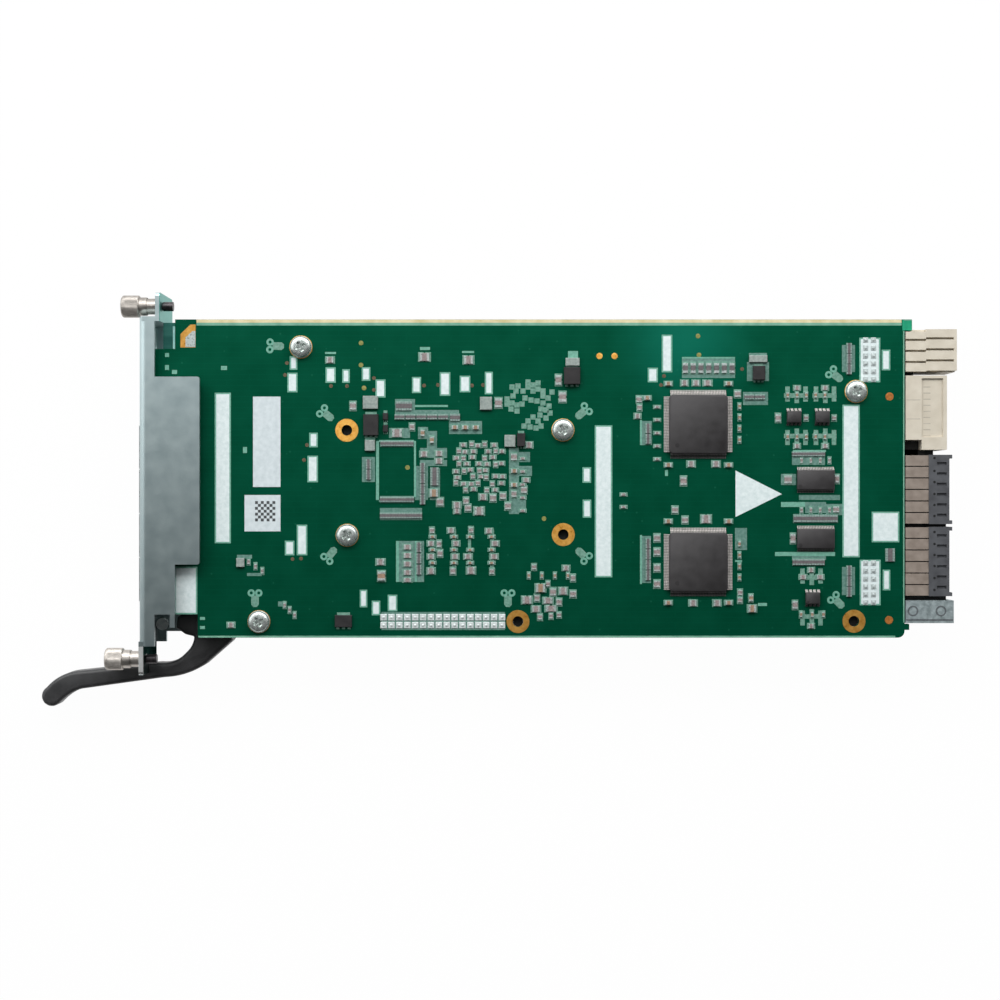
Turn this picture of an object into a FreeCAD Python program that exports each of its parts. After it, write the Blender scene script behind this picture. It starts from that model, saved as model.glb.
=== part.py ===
import FreeCAD, Part
import math
import os

os.makedirs("parts", exist_ok=True)

# Control and uplink card for a telecom chassis, in millimetres.
# X runs from the front panel to the rear connectors, Y across the card, Z up out of the solder side.
# The card lies component side down; Z is 0 at the lowest edge of the front panel.

# Middle of the whole card's outline, measured from the middle of the drawing below.
OUTLINE_MIDDLE_X = -1.0
OUTLINE_MIDDLE_Y = -0.59

# Circuit board
BOARD_FRONT = -112.0
BOARD_REAR = 130.6
BOARD_UPPER_EDGE = 58.0
BOARD_LOWER_EDGE = -44.5
BOARD_UNDERSIDE = 16.2
BOARD_THICKNESS = 2.0
BOARD_TOP = BOARD_UNDERSIDE + BOARD_THICKNESS
UPPER_NOTCH_REAR = -104.3
UPPER_NOTCH_EDGE = 48.5
LOWER_NOTCH_REAR = -97.0
LOWER_NOTCH_EDGE = -37.0
UPPER_TAB_LENGTH = 2.4
UPPER_TAB_WIDTH = 3.6
LOWER_TAB_LENGTH = 1.5
LOWER_TAB_WIDTH = 1.9
LOWER_TAB_RISE = 2.5
CORNER_RADIUS = 2.2
GUIDE_STRIP_WIDTH = 2.0
GUIDE_STRIP_DEPTH = 0.25
GUIDE_STRIP_FRONT = -97.6
GUIDE_STRIP_REAR = 129.8

# Board screws: places of the screws that are fitted, and of the holes left open
SCREW_RADIUS = 1.5
SCREW_HOLE_RADIUS = 1.7
SCREW_HEAD_RADIUS = 3.3
SCREW_HEAD_HEIGHT = 2.0
SCREW_LENGTH = 5.0
PANEL_BRACKET_SCREW = (-63.8, 49.1)
LEVER_BRACKET_SCREW = (-77.3, -39.3)
CONVERTER_SCREW_FROM_REAR = 15.6
CONVERTER_SCREW = (BOARD_REAR - CONVERTER_SCREW_FROM_REAR, 34.8)
SINK_SCREW_1 = (20.6, 22.4)
SINK_SCREW_2 = (-48.9, -11.5)
SINK_OPEN_1 = (-49.0, 22.3)
SINK_OPEN_2 = (20.7, -11.3)
SPARE_HOLE_1 = (6.1, -39.3)
SPARE_HOLE_FROM_REAR = 16.3
SPARE_HOLE_2 = (BOARD_REAR - SPARE_HOLE_FROM_REAR, -39.2)
FITTED_SCREWS = (PANEL_BRACKET_SCREW, LEVER_BRACKET_SCREW, CONVERTER_SCREW, SINK_SCREW_1, SINK_SCREW_2)
OPEN_HOLES = (SINK_OPEN_1, SINK_OPEN_2, SPARE_HOLE_1, SPARE_HOLE_2)

# Folded front panel
SHEET = 1.5
PANEL_FRONT = -115.3
PANEL_HEIGHT = 22.2
PANEL_UPPER_END = 58.6
PANEL_LOWER_END = -47.0
BEND_RADIUS = 2.2
FLANGE_DEPTH = 5.1
WIDE_FLANGE_DEPTH = 19.5
WIDE_FLANGE_UPPER = 39.3
WIDE_FLANGE_LOWER = -20.8
MIDDLE_FLANGE_DEPTH = 11.6
MIDDLE_FLANGE_LOWER = -36.8
FINGER_WIDTH = 1.6
FINGER_LOWER = -41.0
FLANGE_CORNER = 0.8
UPPER_EAR_END = 66.3
UPPER_EAR_SETBACK = 5.3
LOWER_EAR_END = -56.3
EAR_CORNER = 1.2

# Captive panel screws
CAPTIVE_HEIGHT = 17.3
UPPER_CAPTIVE_Y = 62.2
LOWER_CAPTIVE_Y = -51.4
FERRULE_RADIUS = 2.55
FERRULE_BORE = 1.95
EAR_HOLE_RADIUS = 1.35
FERRULE_SHOWN = 3.3
FERRULE_HIDDEN = 1.2
KNOB_RADIUS = 3.55
KNOB_LENGTH = 5.8
SKIRT_RADIUS = 2.95
SKIRT_LENGTH = 2.4
KNOB_BORE = 2.7
KNOB_BORE_DEPTH = 5.4
CAPTIVE_NECK_RADIUS = 1.05
CAPTIVE_THREAD_RADIUS = 1.5
CAPTIVE_THREAD_LENGTH = 3.2
CAPTIVE_THREAD_GAP = 0.3
SPRING_RADIUS = 1.5
SPRING_WIRE = 0.3
SPRING_TURNS = 3
SPRING_STEPS = 8
SPRING_END_GAP = 0.1

# Ejector lever, its pivot and its bracket
PIVOT_X = -94.0
PIVOT_Y = -40.7
PIVOT_RADIUS = 2.0
PIVOT_FIT = 0.06
PIVOT_HEAD_RADIUS = 3.4
PIVOT_HEAD_HEIGHT = 1.0
LEVER_UNDERSIDE = 3.2
LEVER_THICKNESS = 8.0
LEVER_HUB_RADIUS = 5.2
LEVER_HUB_GAP = 0.5
LEVER_COLLAR_RADIUS = 4.3
LEVER_TIP_RADIUS = 3.35
LEVER_TIP_X = -51.95
LEVER_TIP_Y = -23.5
LEVER_GAP = 0.8
LEVER_NOTCH_EDGE = -53.2
# Places on the lever's outline, measured from the pivot: out along the upper edge, back along the lower one
LEVER_NOSE = ((-8.0, 4.3), (-11.0, 2.4), (-11.3, -1.2), (-8.4, -3.3))
LEVER_UPPER = ((-5.5, -4.0), (-6.3, -6.9), (-8.1, -9.2), (-11.4, -11.7), (-17.0, -12.6))
LEVER_UPPER_TIP = ((-43.6, -15.3), (-49.2, -17.0), (-53.7, -20.6))
LEVER_LOWER_TIP = ((-49.3, -25.45), (-45.9, -22.7), (-42.4, -21.1))
LEVER_LOWER = ((-15.0, -17.3), (-8.4, -16.2), (-1.7, -13.0))
LEVER_CLAW = (7.2, -5.2)
BRACKET_SHEET = 1.5
BOSS_SIDE = 5.4
BOSS_DEPTH = 2.0
LEVER_BRACKET_NOSE = 2.8
LEVER_BRACKET_FRONT = PIVOT_X - LEVER_BRACKET_NOSE
LEVER_BRACKET_REAR = -72.0
LEVER_BRACKET_GAP = 1.2

# Panel brackets and the flange rivet
PANEL_BRACKET_REAR = -59.0
PANEL_BRACKET_LOWER = 44.8
PANEL_BRACKET_UPPER = 54.4
PANEL_BRACKET_LEG = 12.0
FOOT_UPPER = -33.6
FOOT_LENGTH = 12.0
RIVET_SETBACK = 3.9
RIVET_X = PANEL_FRONT + RIVET_SETBACK
RIVET_Y = -41.2
RIVET_RADIUS = 2.0
RIVET_HEIGHT = 1.2
RIVET_TAB_LOWER = -43.6
RIVET_TAB_UPPER = -34.0
RIVET_TAB_DEPTH = 10.8

# Ports in the front panel
CAGE_COUNT = 4
CAGE_PITCH = 14.25
CAGE_ROW_MIDDLE = -4.475
CAGE_WIDTH = 13.9
CAGE_HEIGHT = 9.7
CAGE_LENGTH = 48.0
CAGE_WALL = 0.4
CAGE_PROUD = 1.0
PORT_GAP = 0.3
SOCKET_LENGTH = 8.0
SOCKET_WIDTH = 11.4
SOCKET_HEIGHT = 6.2
SOCKET_SLOT_HEIGHT = 1.2
SOCKET_SLOT_DEPTH = 5.0
SOCKET_FROM_END = 2.0
JACK_WIDTH = 15.8
JACK_CAGE_GAP = 1.45
JACK_HEIGHT = 13.3
JACK_LENGTH = 17.5
JACK_WALL = 0.4
JACK_PROUD = 0.4
JACK_MOUTH_WIDTH = 11.8
JACK_MOUTH_HEIGHT = 7.2
JACK_MOUTH_DEPTH = 11.0
JACK_KEY_WIDTH = 6.2
JACK_KEY_HEIGHT = 2.4
LIGHT_COUNT = 3
LIGHT_PITCH = 2.6
LIGHT_JACK_GAP = 0.2
LIGHT_SIDE = 1.8
LIGHT_HEIGHT = 12.0
LIGHT_BODY_LENGTH = 3.2
LIGHT_BODY_WIDTH = 7.4

# Rear connectors, along the rear edge; each reach is measured from the board's rear edge
REAR_SEAT = 6.6
REAR_START = BOARD_REAR - REAR_SEAT
REAR_UNDERSIDE = 2.4
POWER_UPPER = 55.4
POWER_LOWER = 41.2
POWER_REACH = 16.7
POWER_STEP_REACH = 6.8
POWER_END = BOARD_REAR + POWER_REACH
POWER_STEP = BOARD_REAR + POWER_STEP_REACH
POWER_RIBS = 4
POWER_GROOVE = 0.7
POWER_GROOVE_DEPTH = 1.6
SIGNAL_UPPER = 39.9
SIGNAL_LOWER = 19.2
SIGNAL_LIP_LOWER = 16.0
SIGNAL_REACH = 13.5
SIGNAL_STEP_REACH = 5.4
SIGNAL_END = BOARD_REAR + SIGNAL_REACH
SIGNAL_STEP = BOARD_REAR + SIGNAL_STEP_REACH
SIGNAL_CAVITIES = 9
FAST_COUNT = 2
FAST_UPPER = 14.4
FAST_WIDTH = 22.3
FAST_PITCH = 23.2
FAST_REACH = 14.3
FAST_FLANGE_REACH = 15.2
FAST_HOUSING_REACH = 7.7
FAST_END = BOARD_REAR + FAST_REACH
FAST_FLANGE_END = BOARD_REAR + FAST_FLANGE_REACH
FAST_HOUSING_START = BOARD_REAR + FAST_HOUSING_REACH
FAST_WAFERS = 6
FAST_WAFER_GAP = 0.35
FAST_SLOT_DEPTH = 6.0
FAST_SLOT_WIDTH = 1.3
GUIDE_UPPER = -32.5
GUIDE_LOWER = -39.8
GUIDE_REACH = 15.8
GUIDE_END = BOARD_REAR + GUIDE_REACH
GUIDE_BORE = 2.5
GUIDE_BORE_DEPTH = 16.0
GUIDE_HEIGHT = 9.5
CONNECTOR_RISE = 0.6
CONNECTOR_GAP = 0.3

# Chips on the solder side: body length in X, width in Y, height; lead reach past the body
QUAD_CHIP_SIDE = 19.0
QUAD_CHIP_HEIGHT = 1.5
QUAD_LEAD_REACH = 1.5
QUAD_LEAD_ROW = 17.6
QUAD_CHIP_X = 64.1
QUAD_CHIP_UPPER_Y = 24.2
QUAD_CHIP_LOWER_Y = -20.1
CHIP_STANDOFF = 0.1
LEAD_THICKNESS = 0.2
LEAD_SHOULDER = 0.8
BUS_CHIP_LENGTH = 12.2
BUS_CHIP_WIDTH = 6.4
BUS_CHIP_HEIGHT = 1.1
BUS_LEAD_REACH = 0.95
BUS_CHIP_FROM_REAR = 28.7
BUS_CHIP_X = BOARD_REAR - BUS_CHIP_FROM_REAR
BUS_CHIP_UPPER_Y = 6.3
BUS_CHIP_LOWER_Y = -12.6
SMALL_CHIP_LENGTH = 4.7
SMALL_CHIP_WIDTH = 3.8
SMALL_CHIP_HEIGHT = 1.4
SMALL_LEAD_REACH = 0.8
SMALL_CHIP_1_FROM_REAR = 35.7
SMALL_CHIP_2_FROM_REAR = 26.6
SMALL_CHIP_3_FROM_REAR = 29.7
SMALL_CHIP_UPPER_Y = 26.6
SMALL_CHIP_LOWER_Y = -31.7
SMALL_CHIP_PLACES = (
    (BOARD_REAR - SMALL_CHIP_1_FROM_REAR, SMALL_CHIP_UPPER_Y),
    (BOARD_REAR - SMALL_CHIP_2_FROM_REAR, SMALL_CHIP_UPPER_Y),
    (BOARD_REAR - SMALL_CHIP_3_FROM_REAR, SMALL_CHIP_LOWER_Y),
)
REGULATOR_HEIGHT = 1.6
REGULATOR_PLACES = (
    (23.5, 39.8, 5.2, 5.5),
    (83.6, 40.7, 3.9, 4.5),
    (-41.2, 24.0, 4.8, 6.8),
    (7.1, 19.2, 2.6, 4.2),
)

# Chip part sizes: length, width, height
CAP_LARGE = (2.0, 1.25, 0.9)
CAP_SMALL = (1.6, 0.8, 0.7)
RES_SMALL = (1.6, 0.8, 0.45)
NETWORK = (3.2, 1.6, 0.55)

# Rows of chip parts: place of the first part in X and Y, then the step to the next one in X and Y
QUAD_CORNER_OFFSET = 9.6
QUAD_SIDE_OFFSET = 13.3
DRIVER_CAPS_FROM_REAR = 37.7
THIRD_CAPS_FROM_REAR = 33.4
BUS_PARTS_FROM_REAR = 33.2
HEADER_PARTS_FROM_REAR = 17.9
QUAD_CORNER_CAPS = (QUAD_CHIP_X - QUAD_CORNER_OFFSET, 13.1, 19.4, 0.0)
QUAD_SIDE_CAPS = (QUAD_CHIP_X + QUAD_SIDE_OFFSET, -5.0, 0.0, 3.6)
SUPPLY_CAPS = (-14.2, 23.2, 3.35, 0.0)
FILTER_CAPS = (-24.6, 21.4, 3.0, -2.2)
EDGE_CAPS = (4.9, 9.2, 0.0, -4.5)
FRONT_CAP = (47.7, 32.7, 0.0, 0.0)
REAR_CAP = (81.1, -31.7, 0.0, 0.0)
COLUMN_CAPS = (
    (-21.4, -12.0, 0.0, -4.2),
    (-14.5, -12.0, 0.0, -4.2),
    (-9.3, -12.0, 0.0, -4.2),
    (-2.4, -12.0, 0.0, -4.2),
)
CLUSTER_CAPS = (9.6, -24.5, 4.2, 0.0)
DRIVER_UPPER_CAPS = (BOARD_REAR - DRIVER_CAPS_FROM_REAR, 33.6, 3.0, 0.0)
DRIVER_LOWER_CAPS = (BOARD_REAR - DRIVER_CAPS_FROM_REAR, 20.2, 3.0, 0.0)
DRIVER_THIRD_CAPS = (BOARD_REAR - THIRD_CAPS_FROM_REAR, -37.0, 3.6, 0.0)
EDGE_RESISTORS = (7.6, 13.2, 0.0, -4.2)
FIELD_RESISTORS = (50.9, 29.8, 0.0, -4.2)
BUS_UPPER_RESISTORS = (BOARD_REAR - BUS_PARTS_FROM_REAR, 12.6, 3.0, 0.0)
BUS_LOWER_RESISTORS = (BOARD_REAR - BUS_PARTS_FROM_REAR, -3.4, 3.0, 0.0)
MIDDLE_RESISTORS = (40.1, 1.6, 0.0, -4.0)
CORNER_RESISTORS = (-69.0, -34.0, 1.6, -1.6)
FRONT_RESISTORS = (-80.6, -20.0, 2.2, -1.5)
FRONT_NETWORKS = (-32.0, 26.6, 3.5, 0.0)
COMB_NETWORKS = (60.0, 42.3, 2.5, 0.0)
UPPER_HEADER_NETWORKS = (BOARD_REAR - HEADER_PARTS_FROM_REAR, 48.7, 0.0, -3.4)
LOWER_HEADER_NETWORKS = (BOARD_REAR - HEADER_PARTS_FROM_REAR, -22.9, 0.0, -3.4)
LOWER_QUAD_NETWORKS = (48.0, -14.2, 0.0, -3.4)
UPPER_QUAD_NETWORKS = (48.0, 22.9, 0.0, -3.4)
OUTLINE_NETWORKS = (-42.0, 11.4, 0.0, -3.4)
FIELD_NETWORKS = (-24.6, 10.2, 0.0, -3.4)
COLUMN_NETWORKS = (-25.8, -15.4, 0.0, -3.6)
BRIDGE_NETWORKS = (80.6, 33.0, 3.4, 0.0)

# Component side
SINK_CHIP_SIDE = 31.0
SINK_CHIP_HEIGHT = 2.4
SINK_CHIP_X = -14.0
SINK_CHIP_Y = 5.4
PAD_THICKNESS = 0.5
PAD_SIDE = 26.0
SINK_LENGTH = 78.0
SINK_WIDTH = 42.0
SINK_BASE = 2.6
SINK_FINS = 12
SINK_FIN_THICKNESS = 1.0
SINK_FIN_END = 2.4
PROCESSOR_SIDE = 23.0
PROCESSOR_HEIGHT = 2.2
PROCESSOR_X = 64.0
PROCESSOR_Y = -16.0
PROCESSOR_SINK_SIDE = 27.0
PROCESSOR_SINK_HEIGHT = 7.0
PROCESSOR_PINS = 6
PROCESSOR_PIN_SIDE = 2.2
MEMORY_LENGTH = 11.0
MEMORY_WIDTH = 8.0
MEMORY_HEIGHT = 1.1
MEMORY_COUNT = 4
MEMORY_PITCH = 12.0
MEMORY_FIRST_X = -42.0
MEMORY_Y = 41.0
STORE_LENGTH = 18.0
STORE_WIDTH = 12.0
STORE_HEIGHT = 1.1
STORE_X = 54.0
STORE_Y = 16.0
CONVERTER_LENGTH = 40.0
CONVERTER_WIDTH = 21.0
CONVERTER_HEIGHT = 8.8
CONVERTER_FROM_REAR = 12.0
CONVERTER_REAR = BOARD_REAR - CONVERTER_FROM_REAR
CONVERTER_UPPER = 37.0
CONVERTER_PLATE = 2.4
COIL_SIDE = 7.0
COIL_HEIGHT = 4.2
COIL_COUNT = 4
COIL_PITCH = 9.4
COIL_FIRST_X = 22.0
COIL_Y = 42.0
BULK_LENGTH = 7.3
BULK_WIDTH = 4.3
BULK_HEIGHT = 2.9
BULK_COUNT = 6
BULK_PITCH = 6.2
BULK_FROM_REAR = 52.6
BULK_FIRST_X = BOARD_REAR - BULK_FROM_REAR
BULK_Y = 46.5
CRYSTAL_LENGTH = 5.0
CRYSTAL_WIDTH = 3.2
CRYSTAL_HEIGHT = 1.3
CRYSTAL_PLACES = ((-40.0, -27.0), (44.0, 4.0))
PHY_SIDE = 12.0
PHY_HEIGHT = 1.4
PHY_X = -84.0
PHY_Y = 33.0

# Pin headers under the board: their middles and pin counts
HEADER_PITCH = 2.54
HEADER_PIN = 0.64
HEADER_BODY_HEIGHT = 2.5
HEADER_PIN_LENGTH = 8.5
SOCKET_BODY_HEIGHT = 8.5
LONG_HEADER = (-18.1, -39.2)
LONG_HEADER_COLUMN_COUNT = 16
LONG_HEADER_ROW_COUNT = 2
SHORT_HEADER_FROM_REAR = 11.3
UPPER_HEADER = (BOARD_REAR - SHORT_HEADER_FROM_REAR, 45.0)
LOWER_HEADER = (BOARD_REAR - SHORT_HEADER_FROM_REAR, -26.8)
SHORT_HEADER_COLUMN_COUNT = 2
SHORT_HEADER_ROW_COUNT = 6


def block(x0, x1, y0, y1, z0, z1):
    return Part.makeBox(x1 - x0, y1 - y0, z1 - z0, FreeCAD.Vector(x0, y0, z0))


def centred(x, y, length, width, z0, z1):
    return block(x - length / 2, x + length / 2, y - width / 2, y + width / 2, z0, z1)


def post(x, y, radius, z0, z1):
    return Part.makeCylinder(radius, z1 - z0, FreeCAD.Vector(x, y, z0))


def bar(x0, x1, y, z, radius):
    return Part.makeCylinder(radius, x1 - x0, FreeCAD.Vector(x0, y, z), FreeCAD.Vector(1, 0, 0))


def plate(points, z0, z1):
    corners = [FreeCAD.Vector(x, y, z0) for x, y in points]
    face = Part.Face(Part.makePolygon(corners + corners[:1]))
    return face.extrude(FreeCAD.Vector(0, 0, z1 - z0))


def octagon(x, y, radius, z0, z1):
    # Stands in for a thread or a hidden hole; its corners lie on the radius.
    turns = [math.radians(45 * index + 22.5) for index in range(8)]
    return plate([(x + radius * math.cos(turn), y + radius * math.sin(turn)) for turn in turns], z0, z1)


def octagon_bar(x0, x1, y, z, radius):
    solid = octagon(0, 0, radius, 0, x1 - x0)
    solid.rotate(FreeCAD.Vector(0, 0, 0), FreeCAD.Vector(0, 1, 0), 90)
    solid.translate(FreeCAD.Vector(x0, y, z))
    return solid


def joined(first, others):
    return first.fuse(others).removeSplitter()


def upright_edges(shape, x, y):
    found = []
    for edge in shape.Edges:
        start = edge.Vertexes[0].Point
        end = edge.Vertexes[-1].Point
        straight = abs(start.x - end.x) < 1e-6 and abs(start.y - end.y) < 1e-6
        if straight and abs(start.x - x) < 1e-6 and abs(start.y - y) < 1e-6:
            found.append(edge)
    return found


def save(name, solids):
    if not isinstance(solids, (list, tuple)):
        solids = [solids]
    shape = solids[0] if len(solids) == 1 else Part.makeCompound(list(solids))
    shape = shape.copy()
    shape.translate(FreeCAD.Vector(-OUTLINE_MIDDLE_X, -OUTLINE_MIDDLE_Y, 0))
    shape.exportStep("parts/" + name + ".step")


def circuit_board():
    upper_tab = BOARD_REAR + UPPER_TAB_LENGTH
    lower_tab = BOARD_REAR + LOWER_TAB_LENGTH
    lower_tab_edge = BOARD_LOWER_EDGE + LOWER_TAB_RISE
    outline = (
        (BOARD_FRONT, LOWER_NOTCH_EDGE),
        (LOWER_NOTCH_REAR, LOWER_NOTCH_EDGE),
        (LOWER_NOTCH_REAR, BOARD_LOWER_EDGE),
        (BOARD_REAR, BOARD_LOWER_EDGE),
        (BOARD_REAR, lower_tab_edge),
        (lower_tab, lower_tab_edge),
        (lower_tab, lower_tab_edge + LOWER_TAB_WIDTH),
        (BOARD_REAR, lower_tab_edge + LOWER_TAB_WIDTH),
        (BOARD_REAR, BOARD_UPPER_EDGE - UPPER_TAB_WIDTH),
        (upper_tab, BOARD_UPPER_EDGE - UPPER_TAB_WIDTH),
        (upper_tab, BOARD_UPPER_EDGE),
        (UPPER_NOTCH_REAR, BOARD_UPPER_EDGE),
        (UPPER_NOTCH_REAR, UPPER_NOTCH_EDGE),
        (BOARD_FRONT, UPPER_NOTCH_EDGE),
    )
    board = plate(outline, BOARD_UNDERSIDE, BOARD_TOP)
    board = board.makeFillet(CORNER_RADIUS, upright_edges(board, BOARD_REAR, BOARD_LOWER_EDGE))
    strip = block(GUIDE_STRIP_FRONT, GUIDE_STRIP_REAR, BOARD_UPPER_EDGE - GUIDE_STRIP_WIDTH,
                  BOARD_UPPER_EDGE + 1, BOARD_TOP - GUIDE_STRIP_DEPTH, BOARD_TOP + 1)
    cuts = [strip]
    for x, y in FITTED_SCREWS:
        cuts.append(octagon(x, y, SCREW_HOLE_RADIUS, BOARD_UNDERSIDE - 1, BOARD_TOP + 1))
    for x, y in OPEN_HOLES:
        cuts.append(post(x, y, SCREW_HOLE_RADIUS, BOARD_UNDERSIDE - 1, BOARD_TOP + 1))
    return board.cut(cuts)


def board_screws():
    screws = []
    for x, y in FITTED_SCREWS:
        head = post(x, y, SCREW_HEAD_RADIUS, BOARD_TOP, BOARD_TOP + SCREW_HEAD_HEIGHT)
        shank = octagon(x, y, SCREW_RADIUS, BOARD_TOP - SCREW_LENGTH, BOARD_TOP)
        screws.append(head.fuse(shank))
    return screws


def screw_thread(x, y):
    return octagon(x, y, SCREW_RADIUS, BOARD_TOP - SCREW_LENGTH, BOARD_UNDERSIDE + 1)


def port_centres():
    first = CAGE_ROW_MIDDLE + CAGE_PITCH * (CAGE_COUNT - 1) / 2
    return [first - CAGE_PITCH * index for index in range(CAGE_COUNT)]


def jack_middle():
    return port_centres()[0] + CAGE_WIDTH / 2 + JACK_CAGE_GAP + JACK_WIDTH / 2


def light_places():
    middle = jack_middle() + JACK_WIDTH / 2 + LIGHT_JACK_GAP + LIGHT_BODY_WIDTH / 2
    first = middle + LIGHT_PITCH * (LIGHT_COUNT - 1) / 2
    return [first - LIGHT_PITCH * index for index in range(LIGHT_COUNT)]


def light_rod(x0, x1, y, side):
    return block(x0, x1, y - side / 2, y + side / 2, LIGHT_HEIGHT - side / 2, LIGHT_HEIGHT + side / 2)


def channel_profile():
    outer = BEND_RADIUS
    inner = BEND_RADIUS - SHEET
    front = PANEL_FRONT
    back = PANEL_FRONT + SHEET
    lip = PANEL_FRONT + FLANGE_DEPTH
    top = PANEL_HEIGHT
    side = math.sqrt(0.5)

    def at(x, z):
        return FreeCAD.Vector(x, PANEL_LOWER_END, z)

    def bend(x, z, radius, x_sign, z_sign):
        first = at(x + x_sign * radius, z)
        middle = at(x + x_sign * radius * side, z + z_sign * radius * side)
        last = at(x, z + z_sign * radius)
        return Part.Arc(first, middle, last).toShape()

    edges = [
        Part.makeLine(at(front, outer), at(front, top - outer)),
        bend(front + outer, top - outer, outer, -1, 1),
        Part.makeLine(at(front + outer, top), at(lip, top)),
        Part.makeLine(at(lip, top), at(lip, top - SHEET)),
        Part.makeLine(at(lip, top - SHEET), at(back + inner, top - SHEET)),
        bend(back + inner, top - SHEET - inner, inner, -1, 1),
        Part.makeLine(at(back, top - SHEET - inner), at(back, SHEET + inner)),
        bend(back + inner, SHEET + inner, inner, -1, -1),
        Part.makeLine(at(back + inner, SHEET), at(lip, SHEET)),
        Part.makeLine(at(lip, SHEET), at(lip, 0)),
        Part.makeLine(at(lip, 0), at(front + outer, 0)),
        bend(front + outer, outer, outer, -1, -1),
    ]
    return Part.Face(Part.Wire(Part.__sortEdges__(edges)))


def front_panel():
    channel = channel_profile().extrude(FreeCAD.Vector(0, PANEL_UPPER_END - PANEL_LOWER_END, 0))
    back = PANEL_FRONT + SHEET
    lip = PANEL_FRONT + FLANGE_DEPTH
    wide = PANEL_FRONT + WIDE_FLANGE_DEPTH
    middle = PANEL_FRONT + MIDDLE_FLANGE_DEPTH
    tab = (
        (lip - 1, WIDE_FLANGE_UPPER),
        (wide, WIDE_FLANGE_UPPER),
        (wide, WIDE_FLANGE_LOWER),
        (middle, WIDE_FLANGE_LOWER),
        (middle, FINGER_LOWER),
        (middle - FINGER_WIDTH, FINGER_LOWER),
        (middle - FINGER_WIDTH, MIDDLE_FLANGE_LOWER),
        (lip - 1, MIDDLE_FLANGE_LOWER),
    )
    flange = plate(tab, PANEL_HEIGHT - SHEET, PANEL_HEIGHT)
    rounded = upright_edges(flange, wide, WIDE_FLANGE_UPPER)
    rounded += upright_edges(flange, wide, WIDE_FLANGE_LOWER)
    flange = flange.makeFillet(FLANGE_CORNER, rounded)
    tab_end = PANEL_FRONT + RIVET_TAB_DEPTH
    rivet_tab = block(lip - 1, tab_end, RIVET_TAB_LOWER, RIVET_TAB_UPPER, 0, SHEET)
    ear_front = PANEL_FRONT + UPPER_EAR_SETBACK
    ear_back = ear_front + SHEET
    end_wall = block(back - 0.5, ear_back, PANEL_UPPER_END - SHEET, PANEL_UPPER_END, 0, PANEL_HEIGHT)
    upper_ear = block(ear_front, ear_back, PANEL_UPPER_END - SHEET, UPPER_EAR_END, 0, PANEL_HEIGHT)
    lower_ear = block(PANEL_FRONT, back, LOWER_EAR_END, PANEL_LOWER_END + SHEET, 0, PANEL_HEIGHT)
    ear_edges = []
    for ear in (upper_ear, lower_ear):
        end = UPPER_EAR_END if ear is upper_ear else LOWER_EAR_END
        found = [e for e in ear.Edges if abs(e.CenterOfMass.y - end) < 1e-6]
        ear_edges.append([e for e in found if e.BoundBox.XLength > SHEET / 2])
    upper_ear = upper_ear.makeFillet(EAR_CORNER, ear_edges[0])
    lower_ear = lower_ear.makeFillet(EAR_CORNER, ear_edges[1])
    panel = channel.fuse([flange, rivet_tab, end_wall, upper_ear, lower_ear])
    cuts = []
    cut_top = BOARD_UNDERSIDE + PORT_GAP
    cut_low = BOARD_UNDERSIDE - CAGE_HEIGHT - PORT_GAP
    half = CAGE_WIDTH / 2 + PORT_GAP / 2
    for y in port_centres():
        cuts.append(block(PANEL_FRONT - 1, back + 1, y - half, y + half, cut_low, cut_top))
    cut_low = BOARD_UNDERSIDE - JACK_HEIGHT - PORT_GAP
    half = JACK_WIDTH / 2 + PORT_GAP
    jack_y = jack_middle()
    cuts.append(block(PANEL_FRONT - 1, back + 1, jack_y - half, jack_y + half, cut_low, cut_top))
    for y in light_places():
        cuts.append(light_rod(PANEL_FRONT - 1, back + 1, y, LIGHT_SIDE + 2 * PORT_GAP))
    cuts.append(octagon_bar(ear_front - 1, ear_back + 1, UPPER_CAPTIVE_Y, CAPTIVE_HEIGHT, EAR_HOLE_RADIUS))
    cuts.append(octagon_bar(PANEL_FRONT - 1, back + 1, LOWER_CAPTIVE_Y, CAPTIVE_HEIGHT, EAR_HOLE_RADIUS))
    notch_top = LEVER_UNDERSIDE + LEVER_THICKNESS + LEVER_GAP
    cuts.append(block(PANEL_FRONT - 1, back + 1, LOWER_EAR_END - 1, LEVER_NOTCH_EDGE, -1, notch_top))
    return panel.cut(cuts).removeSplitter()


def flange_rivet():
    return post(RIVET_X, RIVET_Y, RIVET_RADIUS, SHEET, SHEET + RIVET_HEIGHT)


def ferrule(seat, y):
    front = seat - FERRULE_SHOWN - FERRULE_HIDDEN
    sleeve = bar(front, seat, y, CAPTIVE_HEIGHT, FERRULE_RADIUS)
    return sleeve.cut(bar(front - 1, seat + 1, y, CAPTIVE_HEIGHT, FERRULE_BORE))


def knob_end(seat):
    return seat - FERRULE_SHOWN


def captive_knob(seat, y):
    z = CAPTIVE_HEIGHT
    skirt_end = knob_end(seat)
    grip_end = skirt_end - SKIRT_LENGTH
    face = grip_end - KNOB_LENGTH
    grip = bar(face, grip_end, y, z, KNOB_RADIUS)
    knob = grip.fuse(bar(grip_end, skirt_end, y, z, SKIRT_RADIUS))
    return knob.cut(bar(skirt_end - KNOB_BORE_DEPTH, skirt_end + 1, y, z, KNOB_BORE)).removeSplitter()


def captive_screw(seat, y):
    z = CAPTIVE_HEIGHT
    neck_start = knob_end(seat) - KNOB_BORE_DEPTH
    thread_start = seat + SHEET + CAPTIVE_THREAD_GAP
    neck = octagon_bar(neck_start, thread_start, y, z, CAPTIVE_NECK_RADIUS)
    thread = bar(thread_start, thread_start + CAPTIVE_THREAD_LENGTH, y, z, CAPTIVE_THREAD_RADIUS)
    return neck.fuse(thread).removeSplitter()


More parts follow.
